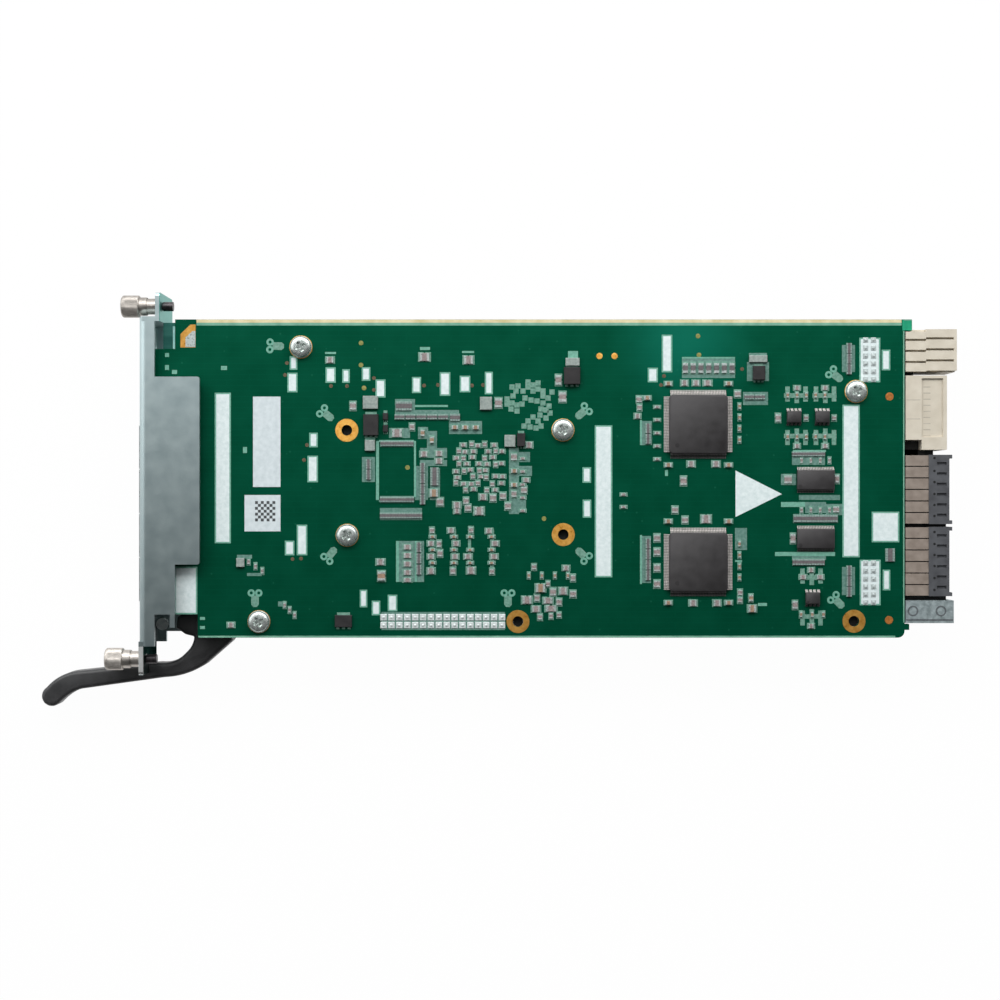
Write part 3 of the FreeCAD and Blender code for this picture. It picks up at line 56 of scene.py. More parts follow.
# Shapes are worked out in mm. SHIFT leads from the drawing's origin to the frame's. SEAT, a hair below the
# board's face, is where everything laid on it starts. A picture unit is UNIT mm long at the board's face.
MM = 0.001
SHIFT = np.array([1.0, 0.59])
BOARD_FACE = 18.2
SEAT = BOARD_FACE - 0.01
UNIT = 0.322
PICTURE_MIDDLE = 500.0
CAMERA_HEIGHT = 592.0
OPTICAL_AXIS = np.array([1.322, 0.429])
# Noise levels at which a finish shows its two tones and its two gloss values, and the relief in metres.
TONE_LEVELS = (0.28, 0.72)
GLOSS_LEVELS = (0.3, 0.7)
RELIEF_DEPTH = 0.0002
Rgb = tuple[float, float, float]
Pair = tuple[float, float]
Solid = tuple[np.ndarray, list[list[int]]]
Tree = bpy.types.NodeTree
Socket = bpy.types.NodeSocket


def linear(colour: Rgb) -> tuple[float, float, float, float]:
    """Turn a colour given as 0 to 255 display values into linear light.

    Args:
        colour: red, green and blue from 0 to 255.

    Returns:
        Linear red, green, blue and an alpha of 1.
    """
    part = np.clip(np.array(colour) / 255.0, 0, 1)
    light = np.where(part <= 0.04045, part / 12.92, ((part + 0.055) / 1.055) ** 2.4)
    return (float(light[0]), float(light[1]), float(light[2]), 1.0)


def table(*rows: object) -> np.ndarray:
    """Give a dataclass field whose default is a fresh array of the rows."""
    return field(default_factory=lambda: np.array(rows, dtype=float))


def span_table(*rows: tuple[float, ...]) -> np.ndarray:
    """Give a dataclass field whose default is an array of the rows, read as picture spans."""
    return field(default_factory=lambda: spans(rows))


def seen(places: np.ndarray, height: float = BOARD_FACE) -> np.ndarray:
    """Turn picture places into millimetres of the frame at one height.

    The pinhole rule: the distance from the optical axis grows with the distance below the camera.

    Args:
        places: columns of across and down in the picture.
        height: height above the floor in mm.

    Returns:
        Columns of X and Y in mm.
    """
    places = np.atleast_2d(np.asarray(places, dtype=float))
    reach = UNIT * (CAMERA_HEIGHT - height) / (CAMERA_HEIGHT - BOARD_FACE)
    return (places - PICTURE_MIDDLE) * np.array([reach, -reach]) + OPTICAL_AXIS


def standing(middles: np.ndarray, half: np.ndarray, low: float, high: float) -> np.ndarray:
    """Stand boxes on given middles: middle less and plus half a size, between two heights.

    Args:
        middles: columns of X and Y in mm.
        half: half sizes along X and Y in mm, for each box or for all.
        low: underside of the boxes in mm.
        high: upper side of the boxes in mm.

    Returns:
        One box a row: X low, X high, Y low, Y high, Z low, Z high.
    """
    flat = np.stack([middles - half, middles + half], axis=2).reshape(-1, 4)
    return np.concatenate([flat, np.broadcast_to([low, high], middles.shape)], axis=1)


def seen_boxes(rows: np.ndarray, low: float, high: float) -> np.ndarray:
    """Turn picture rectangles (middle x, middle y, width, height) into boxes in mm between two heights."""
    rows = np.atleast_2d(np.asarray(rows, dtype=float))
    return standing(seen(rows[:, :2]), rows[:, 2:4] * (UNIT / 2), low, high)


def spans(rows: np.ndarray) -> np.ndarray:
    """Turn picture spans (left, right, top, bottom) into middle and size rows."""
    low, high = np.moveaxis(np.asarray(rows, dtype=float).reshape(-1, 2, 2), 2, 0)
    return np.concatenate([(low + high) / 2, high - low], axis=1)


def sides(boxes: np.ndarray) -> tuple[np.ndarray, np.ndarray, np.ndarray]:
    """Say which boxes lie along X, and give their long and short sides in plan."""
    x, y = boxes[:, 1] - boxes[:, 0], boxes[:, 3] - boxes[:, 2]
    return x >= y, np.maximum(x, y), np.minimum(x, y)


def stepped(boxes: np.ndarray, rise: float = 0.001, levels: int = 11) -> np.ndarray:
    """Raise each box a little above the one before it, so that overlapping tops are never level.

    Args:
        boxes: rows of X low, X high, Y low, Y high, Z low, Z high in mm.
        rise: step in mm.
        levels: steps before the rise starts again.

    Returns:
        The raised boxes.
    """
    boxes = boxes.copy()
    boxes[:, 5] += rise * (np.arange(len(boxes)) % levels)
    return boxes


def loft(rings: np.ndarray, closed: bool = False) -> Solid:
    """Skin many solids at once, each from a stack of closed rings of corners.

    A face joins corner k and k + 1 of ring j to the same corners of ring j + 1. An open stack gets a
    cap on its first and last ring, a closed one joins its last ring to its first.

    Args:
        rings: array of solids, rings, corners and XYZ in mm.
        closed: whether the stack runs round into itself.

    Returns:
        Vertices in mm and the faces.
    """
    index = np.arange(rings[..., 0].size).reshape(rings.shape[:3])
    lower = index if closed else index[:, :-1]
    upper = np.roll(index, -1, axis=1) if closed else index[:, 1:]
    quads = np.stack([lower, np.roll(lower, -1, axis=2), np.roll(upper, -1, axis=2), upper], axis=-1)
    faces = quads.reshape(-1, 4).tolist()
    if not closed:
        faces += index[:, 0, ::-1].tolist() + index[:, -1].tolist()
    return rings.reshape(-1, 3), faces


def raised(flat: np.ndarray, heights: np.ndarray, closed: bool = False) -> Solid:
    """Skin rings of X and Y after giving every ring of a stack its own height.

    Args:
        flat: array of solids, rings, corners and XY in mm.
        heights: height of each ring in mm.
        closed: whether the stack runs round into itself.

    Returns:
        The solids.
    """
    z = np.broadcast_to(np.asarray(heights, dtype=float)[:, None, None], flat.shape[:3] + (1,))
    return loft(np.concatenate([flat, z], axis=-1), closed)


def slabs(boxes: np.ndarray, edge: float = 0.0) -> Solid:
    """Boxes with a bevelled upper rim: full outline, full outline at the shoulder, inset top.

    Args:
        boxes: rows of X low, X high, Y low, Y high, Z low, Z high in mm.
        edge: bevel of the upper rim in mm.

    Returns:
        The solids.
    """
    boxes = np.atleast_2d(boxes)
    inset = np.array([0.0, 0.0, edge])
    x_low, x_high, y_low, y_high = (boxes[:, column, None] + sign * inset
                                    for column, sign in enumerate((1, -1, 1, -1)))
    z = boxes[:, [4, 5, 5]] - np.array([0.0, edge, 0.0])
    x = np.stack([x_low, x_high, x_high, x_low], axis=-1)
    y = np.stack([y_low, y_low, y_high, y_high], axis=-1)
    return loft(np.stack([x, y, np.repeat(z[..., None], 4, axis=-1)], axis=-1))


def circle(corners: int) -> np.ndarray:
    """Give the corners of a circle of radius 1."""
    angle = np.linspace(0, 2 * math.pi, corners, endpoint=False)
    return np.stack([np.cos(angle), np.sin(angle)], axis=1)


def turned(places: np.ndarray, radii: np.ndarray, heights: np.ndarray, corners: int = 24,
           closed: bool = False) -> Solid:
    """Turned solids about Z: radius and height of each ring follow one profile.

    Args:
        places: middles of the solids, X and Y in mm.
        radii: radius of each ring in mm.
        heights: height of each ring in mm.
        corners: corners of a ring.
        closed: whether the profile runs round into itself, as a washer's does.

    Returns:
        The solids.
    """
    ring = np.asarray(radii)[:, None, None] * circle(corners)
    return raised(np.atleast_2d(places)[:, None, None, :] + ring, heights, closed)


def washer(places: np.ndarray, outer: float, inner: float, low: float, high: float,
           corners: int = 32) -> Solid:
    """Flat rings: a rectangle carried round a circle, its upper edges broken by a quarter of the height."""
    rim = 0.25 * (high - low)
    return turned(places, [outer, outer, outer - rim, inner + rim, inner, inner],
                  [low, high - rim, high, high, high - rim, low], corners, True)


def prism(outlines: np.ndarray, low: float, high: float) -> Solid:
    """Straight prisms: each outline of X and Y corners repeated at two heights."""
    outlines = np.asarray(outlines, dtype=float)
    return raised(np.repeat(outlines.reshape((-1, 1) + outlines.shape[-2:]), 2, axis=1), [low, high])


def node_boxes(node: str) -> np.ndarray:
    """Find the box of every solid of a node by spreading the lowest label over its triangles.

    Args:
        node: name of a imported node.

    Returns:
        One box a row in mm: X low, X high, Y low, Y high, Z low, Z high.
    """
    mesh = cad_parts[node].data
    flat = np.empty(len(mesh.vertices) * 3)
    mesh.vertices.foreach_get("co", flat)
    mesh.calc_loop_triangles()
    corners = np.empty(len(mesh.loop_triangles) * 3, dtype=np.int64)
    mesh.loop_triangles.foreach_get("vertices", corners)
    points, same = np.unique(np.round(flat.reshape(-1, 3) / MM, 3), axis=0, return_inverse=True)
    faces = same.ravel()[corners.reshape(-1, 3)]
    label = np.arange(len(points))
    changed = True
    while changed:
        least = label[faces].min(axis=1)
        fresh = label.copy()
        np.minimum.at(fresh, faces.ravel(), np.repeat(least, 3))
        changed = bool((fresh != label).any())
        label = fresh
    _, group = np.unique(label, return_inverse=True)
    low = np.full((group.max() + 1, 3), np.inf)
    high = -low
    np.minimum.at(low, group, points)
    np.maximum.at(high, group, points)
    return np.stack([low, high], axis=2).reshape(-1, 6)


def box_of(node: str) -> np.ndarray:
    """Give a node's box in mm as low and high rows."""
    low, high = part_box(node)
    return np.array([list(low), list(high)]) / MM


def feed(tree: Tree, node: bpy.types.Node, inputs: dict) -> None:
    """Fill inputs of a shader node.

    Args:
        tree: node tree that holds the node.
        node: the node.
        inputs: plain value, or socket to link, for each input by name or number.
    """
    for key, value in inputs.items():
        if isinstance(value, Socket):
            tree.links.new(value, node.inputs[key])
        else:
            node.inputs[key].default_value = value


def wire(tree: Tree, kind: str, inputs: dict, out: str | int = 0, **settings: str) -> Socket:
    """Add a shader node, set it up and give one of its outputs.

    Args:
        tree: node tree to add to.
        kind: node type, without the word that all of them start with.
        inputs: plain value, or socket to link, for each input by name or number.
        out: name or number of the output.
        settings: settings of the node itself.

    Returns:
        The output.
    """
    node = tree.nodes.new("ShaderNode" + kind)
    for name, value in settings.items():
        setattr(node, name, value)
    feed(tree, node, inputs)
    return node.outputs[out]


def compute(tree: Tree, kind: str, first: Socket, second: Socket | float) -> Socket:
    """Join two values by a sum, product or comparison."""
    return wire(tree, "Math", {0: first, 1: second}, "Value", operation=kind)


def spread(tree: Tree, value: Socket, first: Pair, last: Pair, **settings: str) -> Socket:
    """Map a value evenly, given the value and result at the first end and at the last end."""
    ends = {"From Min": first[0], "To Min": first[1], "From Max": last[0], "To Max": last[1]}
    return wire(tree, "MapRange", {"Value": value, **ends}, "Result", **settings)


def blend(tree: Tree, share: Socket, under: Socket, over: Rgb) -> Socket:
    """Lay a plain colour over another one by a share."""
    return wire(tree, "Mix", {"Factor": share, 6: under, 7: linear(over)}, 2, data_type="RGBA")


def coordinate(tree: Tree, place: Socket, axis: str) -> Socket:
    """Give one coordinate of a place."""
    return wire(tree, "SeparateXYZ", {"Vector": place}, axis)


def painted_light_ramp(tree: Tree, place: Socket, tone: Socket, near: Pair, far: Pair) -> Socket:
    """Scale a colour by a share that runs evenly between two places, given as Y in metres and share: painted
    light and shade along the card.
    """
    share = spread(tree, coordinate(tree, place, "Y"), near, far)
    return wire(tree, "VectorMath", {0: tone, "Scale": share}, "Vector", operation="SCALE")


class Grain(Enum):
    """Direction in which a finish shows its fine marks."""

    EVEN = (1.0, 1.0, 1.0)
    ALONG_X = (0.06, 1.0, 1.0)
    FLAT = (1.0, 1.0, 0.2)


@dataclass(frozen=True)
class Finish:
    """A surface finish whose tone, gloss and relief vary with noise over the object's own space."""

    name: str
    dark: Rgb
    light: Rgb
    gloss: Pair = (0.45, 0.6)
    metal: float = 0.0
    cells: float = 350.0
    grain: Grain = Grain.EVEN
    relief: float = 0.08
    relief_cells: float = 2600.0
    clear: float = 0.0
    see_through: float = 0.0
    shine: float = 0.5

    def material(self) -> bpy.types.Material:
        """Build the finish once and give it back on later calls.

        Returns:
            The material.
        """
        known = bpy.data.materials.get(self.name)
        if known is not None:
            return known
        made = bpy.data.materials.new(self.name)
        made.use_nodes = True
        tree = made.node_tree
        place = wire(tree, "TexCoord", {}, "Object")
        grained = wire(tree, "Mapping", {"Vector": place, "Scale": self.grain.value})
        noise, fine = (wire(tree, "TexNoise", {"Vector": grained, "Scale": cells, "Detail": octaves}, "Fac")
                       for cells, octaves in ((self.cells, 5.0), (self.relief_cells, 3.0)))
        ramp = tree.nodes.new("ShaderNodeValToRGB")
        tree.links.new(noise, ramp.inputs["Fac"])
        for stop, level, colour in zip(ramp.color_ramp.elements, TONE_LEVELS, (self.dark, self.light)):
            stop.position = level
            stop.color = linear(colour)
        feed(tree, tree.nodes["Principled BSDF"], {
            "Base Color": self.pattern(tree, place, ramp.outputs["Color"]),
            "Roughness": spread(tree, noise, *zip(GLOSS_LEVELS, self.gloss)),
            "Normal": wire(tree, "Bump", {
                "Height": fine, "Strength": self.relief, "Distance": RELIEF_DEPTH}),
            "Metallic": self.metal, "Coat Weight": self.clear, "Specular IOR Level": self.shine,
            "Transmission Weight": self.see_through})
        return made

    def pattern(self, tree: Tree, place: Socket, tone: Socket) -> Socket:
        """Give the tone on unchanged; a finish with a pattern of its own lays it over here."""
        return tone


@dataclass(frozen=True)
class SolderMask(Finish):
    """Green lacquer over copper, with buried tracks as paler lines, tented vias as paler dots, a painted
    sheen round one place and painted light along the card.
    """

    track: Rgb = (2, 90, 66)
    track_share: float = 0.3
    via: Rgb = (40, 116, 90)
    via_cells: float = 210.0
    # Painted sheen: a lighter green that fades out round one place.
    sheen_tone: Rgb = (22, 136, 114)
    sheen_share: float = 0.42
    sheen_place: Rgb = (0.061, 0.0515, 0.0182)
    sheen_reach: float = 0.027
    via_dots: tuple[Pair, Pair] = ((0.045, 0.35), (0.085, 0.0))
    # Painted light: shares of the tone at the card's lower and upper end.
    lower_light: Pair = (-0.045, 0.68)
    upper_light: Pair = (0.055, 0.87)

    def pattern(self, tree: Tree, place: Socket, tone: Socket) -> Socket:
        """Lay tracks, vias, a painted sheen and painted light along Y over the tone.

        Args:
            tree: node tree to add to.
            place: place on the object.
            tone: colour of the plain lacquer.

        Returns:
            The colour with tracks, vias, painted sheen and painted light.
        """
        bricks = wire(tree, "TexBrick", {
            "Vector": place, "Scale": 90.0, "Mortar Size": 0.012, "Mortar Smooth": 0.4, "Brick Width": 1.3,
            "Row Height": 0.16}, "Fac")
        tone = blend(tree, compute(tree, "MULTIPLY", bricks, self.track_share), tone, self.track)
        cells = wire(tree, "TexVoronoi", {"Vector": place, "Scale": self.via_cells}, "Distance")
        tone = blend(tree, spread(tree, cells, *self.via_dots), tone, self.via)
        # Painted sheen round one place.
        away = wire(tree, "VectorMath", {0: place, 1: self.sheen_place}, "Value", operation="DISTANCE")
        fade = spread(tree, away, (0.0, self.sheen_share), (self.sheen_reach, 0.0),
                      interpolation_type="SMOOTHSTEP")
        tone = blend(tree, fade, tone, self.sheen_tone)
        # Painted light: the lacquer grows darker towards the card's lower end.
        return painted_light_ramp(tree, place, tone, self.lower_light, self.upper_light)


@dataclass(frozen=True)
class PanelSheet(Finish):
    """Zinc sheet whose ear backs, turned away from the light, get a painted shade of dark teal, with a
    painted highlight on the lower ear's top edge and painted light along the card.
    """

    # Painted shade for the ear backs, and a painted highlight above a height on the lower ear.
    upper_back_shade: Rgb = (84, 142, 134)
    lower_back_shade: Rgb = (34, 64, 60)
    upper_back: Pair = (-0.1077, 0.057)
    lower_back: Pair = (-0.113, -0.0465)
    ear_edge_glint: Rgb = (250, 252, 250)
    ear_glint_height: float = 0.0218
    lower_light: Pair = (-0.042, 0.74)
    upper_light: Pair = (0.048, 1.42)

    def pattern(self, tree: Tree, place: Socket, tone: Socket) -> Socket:
        """Lay painted shade over both ear backs and a painted highlight over the lower ear's top edge.

        Args:
            tree: node tree to add to.
            place: place on the object.
            tone: colour of the plain sheet.

        Returns:
            The colour with the painted shade and highlight.
        """
        x, y, z = (coordinate(tree, place, axis) for axis in "XYZ")
        above = compute(tree, "GREATER_THAN", y, self.upper_back[1])
        below = compute(tree, "LESS_THAN", y, self.lower_back[1])
        for (depth, _), beyond, shade in ((self.upper_back, above, self.upper_back_shade),
                                          (self.lower_back, below, self.lower_back_shade)):
            behind = compute(tree, "GREATER_THAN", x, depth)
            tone = blend(tree, compute(tree, "MULTIPLY", behind, beyond), tone, shade)
        # Painted light: the sheet grows lighter towards the card's upper end.
        tone = painted_light_ramp(tree, place, tone, self.lower_light, self.upper_light)
        # Painted highlight on the lower ear's top edge.
        high = compute(tree, "GREATER_THAN", z, self.ear_glint_height)
        return blend(tree, compute(tree, "MULTIPLY", high, below), tone, self.ear_edge_glint)


@dataclass(frozen=True)
class PlatingWithPaintedLight(Finish):
    """Metal plating with painted light: its tone runs evenly from the lower end of the card to the upper
    one.
    """

    lower_light: Pair = (-0.051, 1.06)
    upper_light: Pair = (0.0628, 0.78)

    def pattern(self, tree: Tree, place: Socket, tone: Socket) -> Socket:
        """Scale the plating's tone along Y: painted light and shade."""
        return painted_light_ramp(tree, place, tone, self.lower_light, self.upper_light)


MASK = SolderMask("green_solder_mask", (0, 74, 51), (0, 82, 58), (0.3, 0.42), relief=0.05, cells=120.0,
                  shine=0.05)
TAB_MASK = Finish("bare_green_tab", (0, 140, 102), (10, 164, 120), (0.4, 0.55))
EDGE_LAMINATE = Finish("cut_laminate_edge", (96, 152, 130), (128, 180, 156), (0.5, 0.7))
STRIP_LAMINATE = Finish("bare_guide_strip", (198, 184, 134), (228, 215, 178), (0.5, 0.7))
WHITE_PRINT = Finish("white_silk_print", (205, 219, 219), (226, 236, 236), (0.55, 0.7), cells=900.0)
PALE_PRINT = Finish("thin_silk_print", (92, 150, 130), (118, 176, 156), (0.55, 0.7), cells=1200.0)
PAPER = Finish("label_paper", (196, 207, 210), (214, 223, 226), (0.5, 0.65), cells=700.0)
INK = Finish("label_ink", (52, 56, 58), (74, 78, 80), (0.55, 0.7), cells=900.0)
GOLD = Finish("gold_plating", (198, 136, 50), (232, 178, 90), (0.26, 0.4), 0.35, cells=900.0)
# Painted light: the gold rings grow lighter towards the card's upper end.
RING_GOLD = PlatingWithPaintedLight("ring_gold", (198, 136, 50), (232, 178, 90), (0.26, 0.4), 0.35, 900.0,
                         lower_light=(-0.039, 0.68), upper_light=(0.0228, 1.42))
COPPER = Finish("bare_copper_dot", (74, 66, 46), (106, 84, 60), (0.5, 0.7), cells=1500.0)
ORANGE = Finish("bare_marking_dot", (150, 90, 38), (198, 126, 56), (0.35, 0.5), 0.2, cells=1500.0)
DULL_GOLD = Finish("lacquered_gold_dot", (112, 122, 62), (150, 142, 78), (0.4, 0.6), cells=1500.0)
TIN = Finish("solder_tin", (176, 190, 186), (222, 230, 228), (0.24, 0.4), 0.55, cells=1800.0)
PAD = Finish("tinned_pad", (82, 130, 112), (124, 164, 148), (0.4, 0.6), 0.0, cells=1500.0)
BACKING = Finish("wide_pad", (72, 114, 103), (108, 145, 134), (0.45, 0.6), cells=1200.0)
PAD_SHADE = Finish("shaded_pad", (20, 64, 50), (44, 84, 70), (0.5, 0.7), cells=1500.0)
LEAD = Finish("formed_lead", (176, 170, 166), (208, 203, 199), (0.3, 0.42), 0.25, cells=500.0)
LEAD_SHADE = Finish("shaded_lead", (62, 60, 60), (90, 86, 86), (0.4, 0.55), 0.2, cells=500.0)
JOINT = Finish("bright_solder_joint", (200, 209, 208), (230, 236, 235), (0.35, 0.5), 0.2, cells=1500.0)
DULL_JOINT = Finish("dull_solder_joint", (164, 176, 175), (198, 207, 206), (0.4, 0.55), 0.1, cells=1500.0)
CHIP = Finish("chip_moulding", (46, 44, 45), (58, 56, 57), (0.5, 0.66), relief=0.16, relief_cells=5200.0)
DARK_CHIP = Finish("power_chip_moulding", (26, 24, 26), (40, 37, 38), (0.5, 0.66), relief=0.16)
CERAMIC = Finish("tan_capacitor_body", (136, 112, 92), (168, 142, 120), (0.4, 0.55), cells=1500.0)
GLAZE = Finish("resistor_glaze", (122, 110, 108), (164, 152, 150), (0.35, 0.55), cells=1500.0)
NETWORK_BODY = Finish("network_body", (86, 82, 84), (112, 107, 108), (0.4, 0.6), cells=1800.0)
BLOCK = Finish("grey_block", (126, 138, 134), (160, 170, 164), (0.4, 0.55), cells=1200.0)
ZINC = PanelSheet("zinc_sheet_satin", (164, 180, 182), (172, 186, 187), (0.38, 0.43), 1.0, 230.0,
                  relief=0.06)
# Painted shade and reflection: the brackets under the flange are dark teal, shaded zinc that mirrors the
# green board.
ZINC_INNER_SHADE = Finish("zinc_bracket_painted_shade", (30, 96, 88), (64, 128, 118), (0.34, 0.5), 0.6, 420.0,
                    Grain.ALONG_X)
# Painted highlight along the bracket's edge.
EDGE_GLINT = Finish("bracket_edge", (150, 212, 206), (184, 232, 228), (0.3, 0.45), 0.2, cells=600.0)
THREAD = Finish("thread_steel", (52, 50, 52), (88, 82, 84), (0.3, 0.45), 0.7, 900.0, Grain.FLAT)
# Painted highlight: a near-white, non-metal tone so that the shaded rivet under the flange shows bright.
RIVET_HIGHLIGHT = Finish("rivet_painted_highlight", (226, 230, 230), (250, 251, 250), (0.2, 0.32), 0.0, 900.0)
STRIP_END = Finish("network_end_cap", (122, 146, 140), (160, 178, 173), (0.35, 0.5), 0.1, cells=1800.0)
STEEL = Finish("bright_steel", (196, 194, 188), (228, 226, 222), (0.18, 0.32), 1.0, 900.0, Grain.FLAT)
SCREW_PLATE = Finish("screw_plating", (194, 203, 199), (228, 235, 231), (0.2, 0.34), 0.8, 1200.0)
# Painted light: the nickel grows darker towards the card's upper end.
NICKEL = PlatingWithPaintedLight("knob_nickel", (176, 170, 163), (202, 196, 189), (0.38, 0.5), 1.0, 900.0, relief=0.12)
# Painted shade: a dark teal sheet laid on the lower ear's inner wall.
EAR_SHADE = Finish("ear_back_painted_shade", (24, 50, 46), (42, 70, 65), (0.85, 0.95), cells=420.0, shine=0.0)
LEVER_BLACK = Finish("lever_moulding", (46, 46, 47), (60, 60, 61), (0.38, 0.52), cells=240.0, relief=0.2,
                     relief_cells=3800.0)
BLACK = Finish("black_moulding", (20, 20, 21), (32, 32, 33), (0.45, 0.6), relief=0.14)
HOLE = Finish("deep_shadow", (5, 6, 6), (12, 13, 13), (0.7, 0.85), cells=800.0)
BEIGE = Finish("beige_moulding", (198, 189, 172), (212, 204, 188), (0.5, 0.66), cells=260.0, relief=0.14)
BEIGE_SHADE = Finish("beige_groove", (168, 160, 145), (188, 180, 166), (0.6, 0.75), cells=500.0)
TAN = Finish("tan_moulding", (126, 114, 104), (148, 136, 126), (0.5, 0.64), cells=420.0, relief=0.12)
GREY = Finish("grey_moulding", (66, 67, 71), (84, 86, 90), (0.46, 0.6), cells=300.0, relief=0.16)
CAST = Finish("guide_casting", (168, 183, 185), (196, 209, 211), (0.4, 0.55), 0.85, cells=700.0, relief=0.2)
CAST_SHADE = Finish("guide_casting_edge", (92, 99, 102), (118, 124, 127), (0.45, 0.6), 0.5, cells=700.0)
CAGE = Finish("tinned_cage_sheet", (176, 180, 180), (208, 212, 212), (0.24, 0.4), 1.0, 500.0, Grain.ALONG_X)
CLEAR = Finish("light_pipe", (214, 224, 224), (236, 242, 242), (0.1, 0.2), see_through=0.75)
SINK = Finish("extruded_aluminium", (176, 180, 184), (206, 210, 213), (0.3, 0.46), 1.0, 480.0, Grain.ALONG_X)
RUBBER = Finish("thermal_pad_grey", (150, 158, 164), (176, 184, 190), (0.7, 0.85), relief=0.2)
MODULE = Finish("converter_lacquer", (30, 34, 36), (46, 50, 52), (0.4, 0.55), relief=0.2)
FERRITE = Finish("coil_ferrite", (58, 58, 60), (80, 80, 82), (0.55, 0.75), relief=0.3, relief_cells=3500.0)
TANTALUM = Finish("bulk_capacitor_moulding", (196, 150, 60), (214, 172, 84), (0.4, 0.55), relief=0.1)
CAN = Finish("crystal_can", (196, 196, 192), (222, 222, 218), (0.2, 0.34), 1.0, 900.0)


def make_piece(name: str, solids: list[Solid], finish: Finish, body: str = "card",
               replaced: tuple[str, ...] = (), smooth: float = 35.0) -> bpy.types.Object:
    """Join solids into one mesh piece, dress it and let it ride on a body.

    Args:
        name: piece name.
        solids: vertices in mm and faces of each solid.
        finish: finish of the whole piece.
        body: body that it moves with.
        replaced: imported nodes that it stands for.
        smooth: angle in degrees below which an edge is shaded smooth.

    Returns:
        The new object.
    """
    start = np.cumsum([0] + [len(points) for points, _ in solids[:-1]])
    points = np.concatenate([points for points, _ in solids]) * MM
    faces = [[corner + int(first) for corner in face]
             for first, (_, group) in zip(start, solids) for face in group]
    mesh = bpy.data.meshes.new(name)
    mesh.from_pydata(points, [], faces)
    shape = bmesh.new()
    shape.from_mesh(mesh)
    bmesh.ops.recalc_face_normals(shape, faces=shape.faces)
    shape.to_mesh(mesh)
    shape.free()
    mesh.polygons.foreach_set("use_smooth", np.ones(len(mesh.polygons), dtype=bool))
    mesh.set_sharp_from_angle(angle=math.radians(smooth))
    mesh.materials.append(finish.material())
    piece = bpy.data.objects.new(name, mesh)
    bpy.context.scene.collection.objects.link(piece)
    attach(piece, body)
    if replaced:
        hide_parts(*replaced)
    LOG.info("piece %s on %s: %d faces", name, body, len(mesh.polygons))
    return piece


def dress(node: str, finish: Finish) -> None:
    """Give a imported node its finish.

    Args:
        node: name of the node.
        finish: finish to put in its material slot.
    """
    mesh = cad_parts[node].data
    mesh.materials.clear()
    mesh.materials.append(finish.material())
    LOG.info("node %s dressed with %s", node, finish.name)


